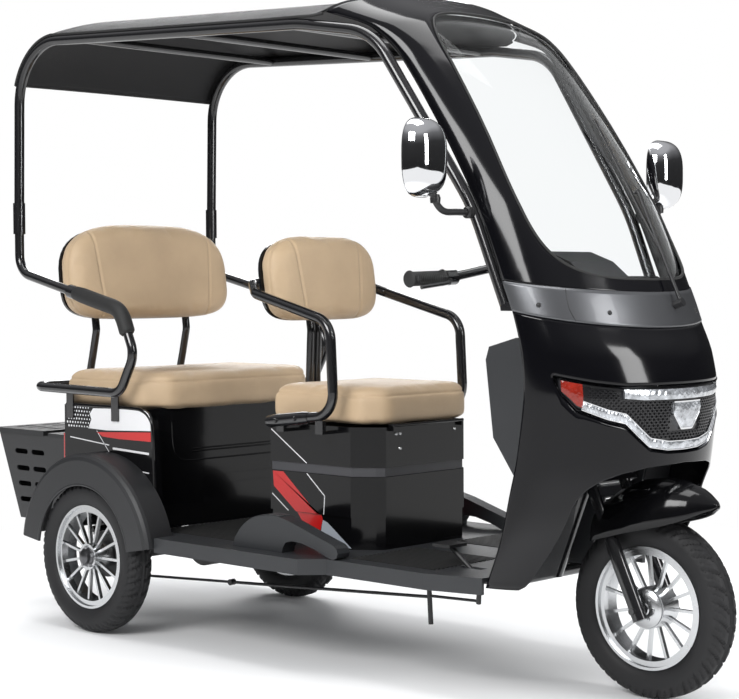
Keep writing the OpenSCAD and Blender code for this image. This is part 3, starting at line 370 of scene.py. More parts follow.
COLS = spread(-90, 90, 121)
IN_COLS = [-CLUSTER_END] + [a for a in COLS if abs(a) < 71] + [CLUSTER_END]
lower = front_grid(lambda a: spread(table(a, ARCH), table(a, C_LOW) - EDGE_GAP, 26), IN_COLS)
upper = front_grid(lambda a: spread(table(a, C_TOP) + EDGE_GAP, COWL_TOP, 20), IN_COLS)
side_rows = spread(0.0, table(CLUSTER_END, C_LOW) - EDGE_GAP, 26) + [4.4]
side_rows += spread(table(CLUSTER_END, C_TOP) + EDGE_GAP, COWL_TOP, 20)
sides = []
for s in (-1, 1):
    cols = spread(CLUSTER_END, 90, 14) if s > 0 else spread(-90, -CLUSTER_END, 14)
    sides.append(front_grid(lambda a: side_rows, cols))
v, f = join_data([lower, upper] + sides)
cowl = piece("cowl_skin", v, f, "gloss_black", replaces=("cowl",), slot="gloss_black")
bm = bmesh.new()
bm.from_mesh(cowl.data)
bmesh.ops.remove_doubles(bm, verts=bm.verts, dist=0.0002)
bm.to_mesh(cowl.data)
bm.free()
solidify(cowl, SHEET)

# The band's grey material is a painted reflection; the real band is glossy black
band = front_grid(lambda a: spread(6.004, 6.996, 14), COLS, -0.002)
ob = piece("screen_band", *band, "band_grey", replaces=("windshield_band",), slot="band_grey")
solidify(ob, SHEET)
seams = []
for a in (-52, 52):
    run = [front_at(6.02 + 0.96 * k / 10, a - 1.5 * math.sin(k / 10 * math.pi), -0.0015) for k in range(11)]
    seams.append(tube_data(run, 0.0012, 6))
for a in (-70, -33, 33, 70):
    c = front_at(6.42, a, -0.001)
    n = (front_at(6.42, a, -0.01) - front_at(6.42, a, 0)).normalized()
    seams.append(turned_data([(0.0001, 0.004), (0.003, 0.0038), (0.0055, 0.002), (0.006, -0.001)], c, n, 16))
piece("band_seams", *join_data(seams), "axle_black", slot="axle_black")


def sgn_pow(x, p):
    return math.copysign(abs(x) ** p, x)


# The window's outline at angle t, as shares of the surround's height and width, grown by g
def window_b(t, g=0.0):
    return -0.1 + (0.83 + g) * sgn_pow(math.sin(math.radians(t)), 0.55)


def window_a(t, g=0.0):
    return (0.62 + g) * (1 - 0.24 * window_b(t)) * sgn_pow(math.cos(math.radians(t)), 0.5)


def cap_point(a, b, t=0.0):
    return front_at(9.5 + 2.5 * b, 90 * a, t)


def surround_rows(n=13, m=192):
    """Rows from the surround's outer edge to the window."""
    verts = []
    for i in range(n):
        f = i / (n - 1)
        for k in range(m):
            ang = 360 * k / m
            c, s = math.cos(math.radians(ang)), math.sin(math.radians(ang))
            q = max(abs(c), abs(s))
            a = c / q * (1 - f) + window_a(ang) * f
            b = s / q * (1 - f) + window_b(ang) * f
            verts.append(cap_point(a, b))
    return verts, grid_faces(n, m, ring=True)


ob = piece("screen_surround", *surround_rows(), "gloss_black", replaces=("windshield_surround",),
           slot="gloss_black")
solidify(ob, SHEET)
rows = [-86 + 172 * k / 40 for k in range(41)]
LAP = 0.03             # how far the glass runs past its window
verts = [cap_point(c / 20 * window_a(r, LAP), window_b(r, LAP), 0.009) for r in rows for c in range(-20, 21)]
ob = piece("screen_glass", verts, grid_faces(41, 41), "clear_glass", replaces=("windshield_glass",),
           slot="clear_glass")
solidify(ob, SHEET)
rim = [cap_point(window_a(k * 2), window_b(k * 2), 0.0015) for k in range(180)]
v, f = tube_data(rim + [rim[0]], 0.0035, 8, caps=False)
piece("screen_rubber", v, f, "rubber", slot="tyre_rubber")

# Lamp cluster
DEPTH = 0.0095


def lens(angles, low, top, t_front, t_back, n, bulge=0.0):
    """Closed lens between two level tables."""
    front, back = [], []
    for k in range(n):
        g = k / (n - 1)
        for a in angles:
            lv = low(a) + (top(a) - low(a)) * g
            d = bulge * math.sin(math.pi * g)
            front.append(front_at(lv, a, t_front - d))
            back.append(front_at(lv, a, t_back))
    m = len(angles)
    ff = grid_faces(n, m)
    o = n * m
    faces = ff + [tuple(o + i for i in reversed(q)) for q in ff]
    for j in range(m - 1):
        faces.append((j + 1, j, o + j, o + j + 1))
        e = (n - 1) * m
        faces.append((e + j, e + j + 1, o + e + j + 1, o + e + j))
    for i in range(n - 1):
        faces.append((i * m, (i + 1) * m, o + (i + 1) * m, o + i * m))
        faces.append(((i + 1) * m + m - 1, i * m + m - 1, o + i * m + m - 1, o + (i + 1) * m + m - 1))
    return front + back, faces


inner = spread(-69.5, 69.5, 101)
tray = lens(inner, lambda a: table(a, C_LOW) + 0.03, lambda a: table(a, C_TOP) - 0.03,
            DEPTH, DEPTH + SHEET, 12)
piece("cluster_tray", *tray, "grille", replaces=("headlamp_housing",), slot="gloss_black")


def outline(g, t):
    """Closed outline of the cluster, set in by the level g."""
    cols = spread(-71.2, 71.2, 121)
    top = [front_at(table(a, C_TOP) - g, a, t) for a in cols]
    low = [front_at(table(a, C_LOW) + g, a, t) for a in reversed(cols)]
    return top + low


def ring_between(g0, t0, g1, t1, g2, t2):
    a, b, c = outline(g0, t0), outline(g1, t1), outline(g2, t2)
    return a + b + c, grid_faces(3, len(a), ring=True)


bezel = ring_between(-0.004, 0.003, 0.0, -0.0012, 0.03, DEPTH)
piece("cluster_bezel", *bezel, "gloss_black", slot="gloss_black", angle=50)
chrome_line = ring_between(0.012, 0.0015, 0.018, 0.0, 0.026, 0.004)
piece("cluster_chrome", *chrome_line, "chrome", slot="chrome", angle=50)

u_cols = spread(-57, 57, 121)


def u_band(lo_g, hi_g, *rest):
    """A band that follows the cluster's lower edge, from lo_g to hi_g levels above it."""
    return lens(u_cols, lambda a: table(a, C_LOW) + lo_g, lambda a: table(a, C_LOW) + hi_g, *rest)


def shield_low(lo):
    """Lower edge of the centre lamp, which rises to the sides."""
    return lambda a: lo + 0.045 * max(0, abs(a) - 4)


u_data = u_band(0.055, 0.2, 0.0035, DEPTH, 6, 0.002)
t_cols = spread(-36, 36, 61)
top_data = lens(t_cols, lambda a: 3.98 + 0.0035 * max(0, abs(a) - 26), lambda a: 4.21, 0.003, DEPTH, 6, 0.002)
c_cols = spread(-9.5, 9.5, 15)
centre_data = lens(c_cols, shield_low(3.47), lambda a: 3.93, 0.002, DEPTH, 6, 0.003)
piece("lamp_bands", *join_data([u_data, top_data, centre_data]), "lamp_clear", replaces=("lamp_lenses",),
      slot="lens", angle=40)
edge = [lens(c_cols, shield_low(3.455), shield_low(3.485), 0.001, DEPTH, 3),
        lens(c_cols, lambda a: 3.915, lambda a: 3.94, 0.001, DEPTH, 3)]
for lo_g, hi_g in ((0.045, 0.058), (0.122, 0.13), (0.197, 0.212)):
    edge.append(u_band(lo_g, hi_g, 0.0022, DEPTH, 3))
wing = [lens(cols, lambda a: table(a, C_TOP) - 0.10, lambda a: table(a, C_TOP) - 0.055, 0.002, DEPTH, 3)
        for cols in (spread(-58, -37, 24), spread(37, 58, 24))]
piece("lamp_trim", *join_data(edge + wing), "chrome", slot="chrome", angle=40)
amb = [lens(cols, lambda a: table(a, C_LOW) + 0.09, lambda a: table(a, C_TOP) - 0.06, 0.002, DEPTH, 6, 0.002)
       for cols in (spread(-67.5, -56.5, 14), spread(56.5, 67.5, 14))]
piece("indicator_lenses", *join_data(amb), "amber", replaces=("indicators",), slot="amber", angle=40)

# Honeycomb cells on the tray, between the light bands
PITCH_A, PITCH_V = 2.5, 0.056      # degrees, levels


def in_grille(lv, a):
    """Whether a cell shows here, clear of the top band, the centre lamp and the indicators."""
    clear = not (abs(a) < 38 and lv > 3.95) and not (abs(a) < 11.5 and lv > 3.42)
    clear = clear and not (abs(a) > 55 and lv > 3.9)
    return clear and table(a, C_LOW) + 0.23 < lv < table(a, C_TOP) - 0.12


cells = []
row = 0
lv = 3.2
while lv < 4.26:
    a = -64 + (PITCH_A / 2 if row % 2 else 0)
    while a < 64:
        if in_grille(lv, a):
            ring0, ring1 = [], []
            for k in range(6):
                t = math.radians(60 * k + 30)
                up, out = PITCH_V * math.sin(t), PITCH_A * math.cos(t)
                ring0.append(front_at(lv + 0.58 * up, a + 0.5 * out, 0.005))
                ring1.append(front_at(lv + 0.44 * up, a + 0.38 * out, 0.005))
            back = [p + (front_at(lv, a, 0.009) - front_at(lv, a, 0.005)) for p in ring1]
            cells.append((ring0 + ring1 + back, grid_faces(3, 6, ring=True)))
        a += PITCH_A
    lv += PITCH_V * 0.87
    row += 1
piece("grille_cells", *join_data(cells), "grille", smooth=False, slot="gloss_black")

# Roof
BEND = 0.170 + 0.0198
LIFT = 0.0178          # skin above the rails


def roof_z(x):
    """Height of the roof skin's edge over the straight part of the rails."""
    return 1.634 - 0.055 * (x + 0.340) + LIFT


# Rows of the skin: x, height, share of the crown, backward lean, bow towards the windshield
SKIN = []
for a in spread(161, 94, 18):
    c, s = math.cos(math.radians(a)), math.sin(math.radians(a))
    crown = max(0.12, s) * min(1, (168 - a) / 60 + 0.1)
    SKIN.append((-0.1739 + BEND * c, 1.4543 + BEND * s, crown, -c * 0.35, 0.0))
for x in spread(-0.16, 0.60, 24):
    SKIN.append((x, roof_z(x), 1.0, 0.0, 0.0))
for x, rise, cr, bow in ((0.69, 0, 0.99, 0.25), (0.75, 0.0004, 0.965, 0.47), (0.80, 0.001, 0.94, 0.7),
                         (0.84, 0.0012, 0.9, 0.88)):
    SKIN.append((x, roof_z(x) + rise, cr, 0.0, bow))
SKIN.append((0.870, 1.592, 0.87, 0.0, 1.0))
CROWN = 0.070
GS = spread(-1, 1, 61)
verts = []
for x, z, cr, back, bow in SKIN:
    for g in GS:
        c = math.cos(math.radians(90 * g))
        d = c * c if bow < 1 else c
        half = 0.370 if bow < 1 else 0.356
        y = half * math.sin(math.radians(90 * g))
        verts.append(at(x - CROWN * back * d + 0.08 * c * bow, y, z + CROWN * cr * d))
faces = [tuple(reversed(q)) for q in grid_faces(len(SKIN), len(GS))]
ob = piece("roof_cover", verts, faces, "roof_grey", replaces=("roof_skin",), slot="roof_grey")
solidify(ob, SHEET)
edge = []
m = len(GS)
for j in (0, m - 1):
    edge.append(tube_data([verts[i * m + j] + Vector((0, 0, -0.002)) for i in range(len(SKIN))], 0.004, 8))
edge.append(tube_data([verts[j] for j in range(m)], 0.0045, 8))
piece("roof_edge", *join_data(edge), "rubber", slot="tyre_rubber")

# Front fender
# Stations from the nose back: x, crown and edge height, half width, in mm; PROF is the section across
HOOD = [(1742, 456, 449, 6), (1734, 464, 443, 18), (1722, 472, 438, 30), (1708, 482, 431, 43),
        (1695, 489, 424, 54), (1672, 498, 415, 66), (1650, 504, 408, 74), (1605, 506, 396, 82),
        (1549, 498, 383, 86), (1495, 476, 368, 86), (1452, 446, 356, 84)]
PROF = [(-1, 0), (-0.985, 0.18), (-0.95, 0.36), (-0.89, 0.52), (-0.8, 0.66), (-0.67, 0.78), (-0.52, 0.86),
        (-0.37, 0.92), (-0.22, 0.96), (-0.06, 0.995), (0, 1)]
PROF = PROF + [(-q[0], q[1]) for q in reversed(PROF[:-1])]
verts = []
path = [np.array(h, float) for h in HOOD]
dense = []
for i in range(len(path) - 1):
    for k in range(4):
        dense.append(path[i] + (path[i + 1] - path[i]) * k / 4)
dense.append(path[-1])
for x, zc, ze, w in dense:
    for q in PROF:
        verts.append(at(x / 1000, q[0] * w / 1000, (ze + q[1] * (zc - ze)) / 1000))
ob = piece("front_hood", verts, grid_faces(len(dense), len(PROF)), "sheet_black", body="steering",
           replaces=("front_fender",), slot="gloss_black")
solidify(ob, 0.003)


# Tyres
def tyre(name, node, centre, body, slant):
    """A tyre with 32 blocks round each shoulder; slant leans the gaps between them."""
    seg, blocks, prof = 288, 32, []
    half, rw = 0.041, 0.171        # half width, radius at which the tread's arch begins
    for k in range(41):
        t = -90 + 180 * k / 40
        c, s = math.cos(math.radians(t)), math.sin(math.radians(t))
        prof.append((rw + (TYRE_R - rw) * sgn_pow(c, 0.85), half * sgn_pow(s, 0.8)))
    foot = [(0.135, 0.021), (0.141, 0.027), (0.142, 0.030), (0.149, 0.0355), (0.159, 0.0398)]
    left = [(r, -y) for r, y in foot]
    prof = left + prof + [(r, y) for r, y in reversed(foot)]
    verts = []
    for k in range(seg):
        t = 2 * math.pi * k / seg
        for r, y in prof:
            cut = 0.0
            if r > 0.183:
                side = 1 if y > 0 else -1
                u = (k / seg * blocks + side * abs(y) * slant + (0.5 if side > 0 else 0)) % 1.0
                if u < 0.24 and abs(y) > 0.007:
                    cut = 0.0055
                elif 0.55 < u < 0.68 and abs(y) > 0.021:
                    cut = 0.0035
                if 0.0042 < abs(y) < 0.0085:
                    cut = 0.005
                if abs(y) > 0.038:
                    cut *= 0.5
            elif 0.164 < r < 0.169:
                cut = 0.0009
            rr = r - cut
            verts.append(Vector((centre[0] + rr * math.cos(t), centre[1] + y, centre[2] + rr * math.sin(t))))
    n = len(prof)
    faces = []
    for k in range(seg):
        o, p = k * n, (k + 1) % seg * n
        for j in range(n):
            q = (j + 1) % n
            faces.append((o + j, p + j, p + q, o + q))
    return piece(name, verts, faces, "tyre_rubber", body=body, replaces=(node,), slot="tyre_rubber", angle=38)


FRONT_HUB = at(WHEELBASE, 0, TYRE_R)
LEFT_HUB = at(0, TRACK_HALF, TYRE_R)
RIGHT_HUB = at(0, -TRACK_HALF, TYRE_R)
tyre("front_tread", "front_tyre", FRONT_HUB, "front_wheel", 24)
tyre("left_tread", "rear_tyre_left", LEFT_HUB, "rear_wheel_left", 18)
tyre("right_tread", "rear_tyre_right", RIGHT_HUB, "rear_wheel_right", -18)

# Hub covers and bolts
CAP = [(0.0001, 0.006), (0.012, 0.0055), (0.014, 0.003), (0.030, 0.0015), (0.034, -0.001), (0.040, -0.004),
       (0.042, -0.010)]
REAR_CAP = [(0.0001, 0.012), (0.012, 0.0115), (0.018, 0.008), (0.020, 0), (0.026, -0.002), (0.030, -0.01)]
hubs = []
for s in (-1, 1):
    hubs.append(turned_data([(r * 1.12, s * (0.038 + z)) for r, z in CAP], FRONT_HUB, seg=64))
    for k in range(6):
        t = 2 * math.pi * k / 6
        c = FRONT_HUB + Vector((0.026 * math.cos(t), s * 0.038, 0.026 * math.sin(t)))
        hubs.append(turned_data([(0.0001, s * 0.006), (0.004, s * 0.005), (0.0045, 0)], c, seg=12))
piece("front_hub_cover", *join_data(hubs), "alloy", body="front_wheel", slot="alloy", angle=40)
for name, hub, s, body in (("left_hub_cap", LEFT_HUB, 1, "rear_wheel_left"),
                           ("right_hub_cap", RIGHT_HUB, -1, "rear_wheel_right")):
    cap = turned_data([(r, s * z) for r, z in REAR_CAP], hub + Vector((0, s * 0.036, 0)), seg=48)
    piece(name, *cap, "alloy_dark", body=body, slot="axle_black", angle=40)
    nuts = []
    for k in range(5):
        t = 2 * math.pi * k / 5 + 0.3
        c = hub + Vector((0.026 * math.cos(t), s * 0.032, 0.026 * math.sin(t)))
        nuts.append(turned_data([(0.0001, s * 0.006), (0.005, s * 0.0055), (0.0055, 0)], c, seg=6))
    piece(name + "_bolts", *join_data(nuts), "steel", body=body, slot="steel", angle=30)


# Upholstery
CLOTH_FRAMES = 20
CLOTH_PRESSURE = 4.0


def apply_modifiers(ob):
    """Turns the object's modifiers into mesh and gives that mesh."""
    dg = bpy.context.evaluated_depsgraph_get()
    me = bpy.data.meshes.new_from_object(ob.evaluated_get(dg))
    ob.modifiers.clear()
    old = ob.data
    ob.data = me
    bpy.data.meshes.remove(old)
    return me


def run_cloth(ob, cap):
    """Blows the pad up a little with cloth pressure and keeps the result, each point moved by cap at most."""
    mod = ob.modifiers.new("remesh", "REMESH")
    mod.mode = "VOXEL"
    mod.voxel_size = 0.006
    me = apply_modifiers(ob)
    rest = [v.co.copy() for v in me.vertices]
    c = ob.modifiers.new("cloth", "CLOTH")
    c.settings.quality = 5
    c.settings.mass = 0.3
    c.settings.tension_stiffness = 18
    c.settings.compression_stiffness = 18
    c.settings.bending_stiffness = 3
    c.settings.use_pressure = True
    c.settings.uniform_pressure_force = CLOTH_PRESSURE
    c.settings.effector_weights.gravity = 0
    c.point_cache.frame_start = 1
    c.point_cache.frame_end = CLOTH_FRAMES
    for k in range(1, CLOTH_FRAMES + 1):
        bpy.context.scene.frame_set(k)
    ev = ob.evaluated_get(bpy.context.evaluated_depsgraph_get())
    moved = [v.co.copy() for v in ev.data.vertices]
    ob.modifiers.clear()
    for v, p, q in zip(me.vertices, rest, moved):
        d = q - p
        if d.length > cap:
            d = d.normalized() * cap
        v.co = p + d
    me.update()
    bpy.context.scene.frame_set(1)


def finish_pad(ob, carve):
    """Smooths and subdivides the pad, then sinks its seams by carve(co, normal)."""
    sm = ob.modifiers.new("smooth", "SMOOTH")
    sm.factor = 0.5
    sm.iterations = 6
    sub = ob.modifiers.new("sub", "SUBSURF")
    sub.levels = sub.render_levels = 1
    me = apply_modifiers(ob)
    skin = [(v.co.copy(), v.normal.copy()) for v in me.vertices]
    for v, (co, n) in zip(me.vertices, skin):
        v.co = co - n * carve(co, n)
    me.polygons.foreach_set("use_smooth", [True] * len(me.polygons))
    me.update()


def plan(x0, x1, h, c, d):
    """Plan of a seat pad with cut and rounded front corners, set in by d."""
    pts = []
    r = 0.022
    corners = [(x0 + d, -h + d), (x1 - c, -h + d), (x1 - d, -h + c), (x1 - d, h - c), (x1 - c, h - d),
               (x0 + d, h - d)]
    n = len(corners)
    for i in range(n):
        p = Vector((*corners[i], 0))
        a = (Vector((*corners[i - 1], 0)) - p).normalized()
        b = (Vector((*corners[(i + 1) % n], 0)) - p).normalized()
        for k in range(7):
            t = k / 6
            pts.append((p + a * r * (1 - t) ** 2 + b * r * t ** 2)[:2])
    return pts


def pad_data(x0, x1, h, c, z, t):
    """A seat pad from x0 to x1, h to each side, t thick from z up; each ring is (height, set in)."""
    rings = [(0.0, 0.012), (0.003, 0.006), (0.012, 0.003), (t - 0.034, 0.003), (t - 0.022, 0.006),
             (t - 0.012, 0.012), (t - 0.005, 0.022), (t - 0.002, 0.045)]
    verts = []
    for dz, d in rings:
        verts += [at(x, y, z + dz) for x, y in plan(x0, x1, h, c, d)]
    m = len(verts) // len(rings)
    faces = grid_faces(len(rings), m, ring=True)
    faces.append(tuple(range(m - 1, -1, -1)))
    faces.append(tuple((len(rings) - 1) * m + k for k in range(m)))
    return verts, faces


def back_data(a, b, low, t, origin, tilt):
    """An arched backrest, a to each side, b up and low down from its origin (x, y, z, start of the pad)."""
    rings = [(0.002, 0.006), (0.006, 0.002), (t - 0.030, 0.002), (t - 0.018, 0.007), (t - 0.009, 0.016),
             (t - 0.003, 0.032), (t - 0.001, 0.06)]
    rot = Matrix.Rotation(-tilt, 3, "Y")
    verts = []
    m = 96
    for dx, d in rings:
        for k in range(m):
            c, sn = math.cos(2 * math.pi * k / m), math.sin(2 * math.pi * k / m)
            y = (a - d) * sgn_pow(c, 0.62 if sn > 0 else 0.42)
            z = (b - d) * sgn_pow(sn, 0.72) if sn > 0 else (low - d) * sgn_pow(sn, 0.5)
            verts.append(rot @ Vector((dx + origin[3], y, z)) + at(*origin[:3]))
    faces = grid_faces(len(rings), m, ring=True)
    faces.append(tuple(range(m - 1, -1, -1)))
    faces.append(tuple((len(rings) - 1) * m + k for k in range(m)))
    return verts, faces


def groove(d, w=0.0035, depth=0.003):
    """Depth of a sewn groove at distance d from its middle."""
    return depth * math.exp(-(d / w) ** 2)


def seat_carve(z_seam):
    def carve(co, n):
        return groove(co.z - z_seam) if n.z < 0.75 else 0.0
    return carve


def back_carve(origin, y_seam):
    def carve(co, n):
        bend = 0.012 * math.sin((co.z - origin[2]) * 9)
        out = groove(abs(co.y) - y_seam - bend) if n.x > 0.2 else 0.0
        edge = (co - at(*origin[:3])).x + 0.139 * (co.z - origin[2])
        return out + (groove(edge - origin[3] - 0.036, 0.003, 0.0025) if n.x < 0.75 else 0.0)
    return carve


TILT = math.radians(8)
BENCH_AT = (-0.215, 0, 0.965, -0.040)
DRIVER_AT = (0.490, 0, 0.965, -0.020)
# Piece, solid, body, form, seams, most that the cloth may move, share of foam
PADS = [
    ("bench_cushion", "rear_seat_cushion", "chassis", pad_data(-0.210, 0.190, 0.325, 0.070, 0.6125, 0.093),
     seat_carve(0.684), 0.007, 0.75),
    ("bench_back", "rear_backrest", "chassis", back_data(0.302, 0.168, 0.122, 0.070, BENCH_AT, TILT),
     back_carve(BENCH_AT, 0.205), 0.006, 0.8),
    ("driver_cushion", "driver_seat_cushion", "driver_seat",
     pad_data(0.510, 0.890, 0.205, 0.056, 0.6003, 0.087), seat_carve(0.668), 0.006, 0.75),
    ("driver_back", "driver_backrest", "chassis", back_data(0.200, 0.116, 0.122, 0.066, DRIVER_AT, TILT),
     back_carve(DRIVER_AT, 0.112), 0.006, 0.8),
]
for name, node, body, data, carve, cap, fill in PADS:
    ob = piece(name, *data, "tan_leather", body=body, slot="tan_leather", replaces=(node,))
    run_cloth(ob, cap)
    finish_pad(ob, carve)


# Decals on the seat boxes
def decal(name, polys, y, mat):
    """Flat shapes on a side panel, given as (x from the rear axle, z), on both sides."""
    parts = []
    for s in (-1, 1):
        for poly in polys:
            n = len(poly)
            area = sum(poly[i - 1][0] * poly[i][1] - poly[i][0] * poly[i - 1][1] for i in range(n))
            order = tuple(range(n))
            face = order[::-1] if (s > 0) != (area < 0) else order
            parts.append(([at(x, s * y, z) for x, z in poly], [face]))
    piece(name, *join_data(parts), mat, smooth=False, slot="gloss_black")


def strip(p, q, w):
    """A thin straight strip between two points."""
    d = Vector((q[0] - p[0], q[1] - p[1])).normalized()
    n = Vector((-d.y, d.x)) * w / 2
    return [(p[0] + n.x, p[1] + n.y), (q[0] + n.x, q[1] + n.y), (q[0] - n.x, q[1] - n.y),
            (p[0] - n.x, p[1] - n.y)]


REAR_Y = 0.3327        # just outside the bench's side panels
corner = [(0.154 + 0.032 * math.cos(t), 0.586 + 0.024 * math.sin(t))
          for t in (math.pi / 2, 1.2, 0.8, 0.4, 0.0)]
white = [(-0.082, 0.550), (-0.068, 0.575), (-0.075, 0.590), (-0.060, 0.606), (0.130, 0.612)] + corner
white += [(0.188, 0.556), (0.0, 0.548)]
lines = [strip((-0.165, 0.522), (0.010, 0.508), 0.0028), strip((0.025, 0.500), (0.180, 0.494), 0.006),
         strip((-0.045, 0.545), (0.045, 0.452), 0.0022), strip((0.045, 0.452), (0.180, 0.442), 0.003)]
red = [(-0.045, 0.541), (0.188, 0.552), (0.188, 0.527), (0.05, 0.527), (-0.018, 0.530)]
decal("side_white", [white] + lines, REAR_Y, "decal_white")
decal("side_red", [red], REAR_Y, "decal_red")
dots = []
for i in range(10):
    for j in range(6):
        x, z = -0.176 + i * 0.0118 + (0.0059 if j % 2 else 0), 0.606 - j * 0.0105
        r = 0.0035 * (1 - 0.045 * i)
        if x < -0.075:
            turn = [k * math.pi / 3 for k in range(6)]
            dots.append([(x + r * math.cos(t), z + r * math.sin(t)) for t in turn])
decal("side_dots", dots, REAR_Y, "decal_white")
BOX_Y, BOX_LOW_Y = 0.2053, 0.2013      # just outside the driver's seat box, above and below its step
decal("box_red_upper", [[(0.527, 0.464), (0.566, 0.464), (0.690, 0.364), (0.700, 0.3645), (0.612, 0.3645),
                         (0.530, 0.425)]], BOX_Y, "decal_red")
decal("box_red_lower", [[(0.612, 0.3635), (0.700, 0.3635), (0.705, 0.352), (0.695, 0.318), (0.640, 0.330)],
                        [(0.648, 0.305), (0.672, 0.298), (0.668, 0.288), (0.648, 0.288)]],
      BOX_LOW_Y, "decal_red")
decal("box_grey", [[(0.705, 0.350), (0.722, 0.345), (0.806, 0.287), (0.702, 0.287), (0.697, 0.316)]],
      BOX_LOW_Y, "decal_grey")
lines = [strip((0.522, 0.572), (0.652, 0.491), 0.0028), strip((0.652, 0.465), (0.716, 0.412), 0.0028),
         strip((0.716, 0.412), (0.712, 0.3645), 0.0028), strip((0.524, 0.405), (0.584, 0.3645), 0.0026)]
decal("box_lines", lines, BOX_Y, "decal_white")
band_v = []
half = [(0.5205, 0.2012), (0.806, 0.2012), (0.8555, 0.1635), (0.8712, 0.147)]
ring = [(x, -y) for x, y in half] + half[::-1]
for z in (0.4665, 0.4895):
    band_v += [at(x, y, z) for x, y in ring]
piece("box_band", band_v, grid_faces(2, 8), "panel_grey", smooth=False, slot="satin_grey")

# Edge trims, pressed grooves and screws
PANEL_EDGE = [(-0.183, 0.612), (-0.10, 0.6125), (0.10, 0.6125), (0.150, 0.608), (0.180, 0.590),
              (0.194, 0.555), (0.1955, 0.45), (0.1955, 0.31)]
LIP_R = 0.1985         # rolled edge of the rear fenders
arc = [math.radians(10 + 162 * k / 60) for k in range(61)]
trims, lips, grooves, screws = [], [], [], []
for s in (-1, 1):
    trims.append(tube_data(smooth_path([at(x, s * 0.3285, z) for x, z in PANEL_EDGE], 6), 0.0058, 12))
    lip = [at(LIP_R * math.cos(t), s * 0.4205, TYRE_R + LIP_R * math.sin(t)) for t in arc]
    lips.append(tube_data(lip, 0.0045, 10))
    for x, z in ((0.176, 0.33), (0.176, 0.42)):
        head = [(0.0001, s * 0.003), (0.004, s * 0.0028), (0.005, 0)]
        screws.append(turned_data(head, at(x, s * 0.3325, z), seg=14))
FACE_X = 0.1543        # front face of the bench box
for pts in ([(-0.232, 0.572), (-0.229, 0.52), (-0.216, 0.482), (-0.185, 0.466), (-0.10, 0.464),
             (0.24, 0.464)],
            [(-0.16, 0.488), (-0.05, 0.488), (0.24, 0.488)],
            [(-0.16, 0.4955), (-0.05, 0.4955), (0.24, 0.4955)]):
    grooves.append(tube_data(smooth_path([at(FACE_X, y, z) for y, z in pts], 6), 0.0022, 8))
for y, z in ((-0.098, 0.572), (-0.112, 0.572), (-0.098, 0.535), (0.11, 0.572)):
    head = [(0.0001, 0.0028), (0.0035, 0.0026), (0.0045, 0)]
    screws.append(turned_data(head, at(0.8755, y, z), (1, 0, 0), 14))
piece("bench_trims", *join_data(trims), "sheet_black", slot="gloss_black", angle=50)
piece("fender_lips", *join_data(lips), "satin_grey", slot="satin_grey", angle=50)
piece("bench_grooves", *join_data(grooves), "sheet_black", slot="gloss_black", angle=50)
piece("small_screws", *join_data(screws), "alloy", slot="alloy", angle=40)

# Floor mat ribs, guard ribs, armrest pads, grips
ribs = []
for x0, x1, start, clear in ((0.905, 1.17, -0.30, 0.066), (0.17, 0.50, -0.29, -1)):
    y = start
    while y < 0.001 - start:
        if abs(y) > clear:
            ribs.append(box_data(tuple(at(x0, y - 0.003, 0.2838)), tuple(at(x1, y + 0.003, 0.2865))))
        y += 0.015
piece("mat_ribs", *join_data(ribs), "rubber", smooth=False, slot="tyre_rubber")
ARC = [(-0.181, 0.022), (-0.160, 0.048), (-0.130, 0.070), (-0.095, 0.083), (-0.055, 0.089), (-0.020, 0.088)]
ribs = []
for s in (-1, 1):
    for k in range(7):
        y = s * 0.330 - 0.017 + k * 0.0057
        rib = [at(0.720 + x, y, 0.2843 + z + 0.0006) for x, z in ARC]
        ribs.append(tube_data(smooth_path(rib, 5), 0.0018, 6))
piece("guard_ribs", *join_data(ribs), "guard_grey", slot="satin_grey")
pads = []
ARM = [(-0.112, 0.9298), (-0.02, 0.9086), (0.04, 0.8947), (0.0755, 0.8866), (0.0997, 0.8747),
       (0.1164, 0.8534), (0.128, 0.8285), (0.134, 0.8157)]
for s in (-1, 1):
    pts = smooth_path([at(x, s * 0.364, z) for x, z in ARM], 6)
    along = [math.pi * (k + 0.3) / (len(pts) - 1 + 0.6) for k in range(len(pts))]
    rad = [0.0165 + 0.0048 * min(1, 4 * math.sin(t)) for t in along]
    pads.append(tube_data(pts, rad, 24))


def driver_arm(x, y):
    """Point on the middle line of the driver's armrest tube, which rises forward."""
    return at(x, y, 0.5958 + (x - 0.558) * 0.113)


SLEEVE_R = [0.0150, 0.0168] + [0.0172] * 5 + [0.0168, 0.0145]
sleeves = []
for s in (-1, 1):
    pts = [driver_arm(0.558 + 0.148 * k / 8, s * 0.246) for k in range(9)]
    sleeves.append(tube_data(pts, SLEEVE_R, 24))
    for x in (0.600, 0.668):
        head = [(0.0001, s * 0.005), (0.005, s * 0.0045), (0.006, 0)]
        sleeves.append(turned_data(head, driver_arm(x, s * 0.2628), seg=12))
piece("arm_sleeves", *join_data(sleeves), "black_steel", slot="black_steel", angle=50)
piece("arm_pads", *join_data(pads), "rubber", slot="tyre_rubber", angle=50)
GRIP = Vector((-8, 137, -4)).normalized()      # direction of the left grip
grips = []
for s in (-1, 1):
    d = Vector((GRIP.x, s * GRIP.y, GRIP.z))
    end = at(1.113, s * 0.322, 0.957)
    prof = []
    for k in range(56):
        y = 0.001 - k * 0.002
        r = 0.0158 + (0.0012 if k % 3 else 0.0) + (0.003 if k in (0, 1, 54, 55) else 0)
        prof.append((r, y))
    prof = [(0.0001, 0.003), (0.012, 0.0028)] + prof + [(0.0112, -0.112)]
    grips.append(turned_data(prof, end, d, 32))
piece("grips", *join_data(grips), "rubber", body="steering", slot="tyre_rubber", angle=50)


# Mirrors
def mirror_centre(s):
    return at(1.285, s * 0.460, 1.222)


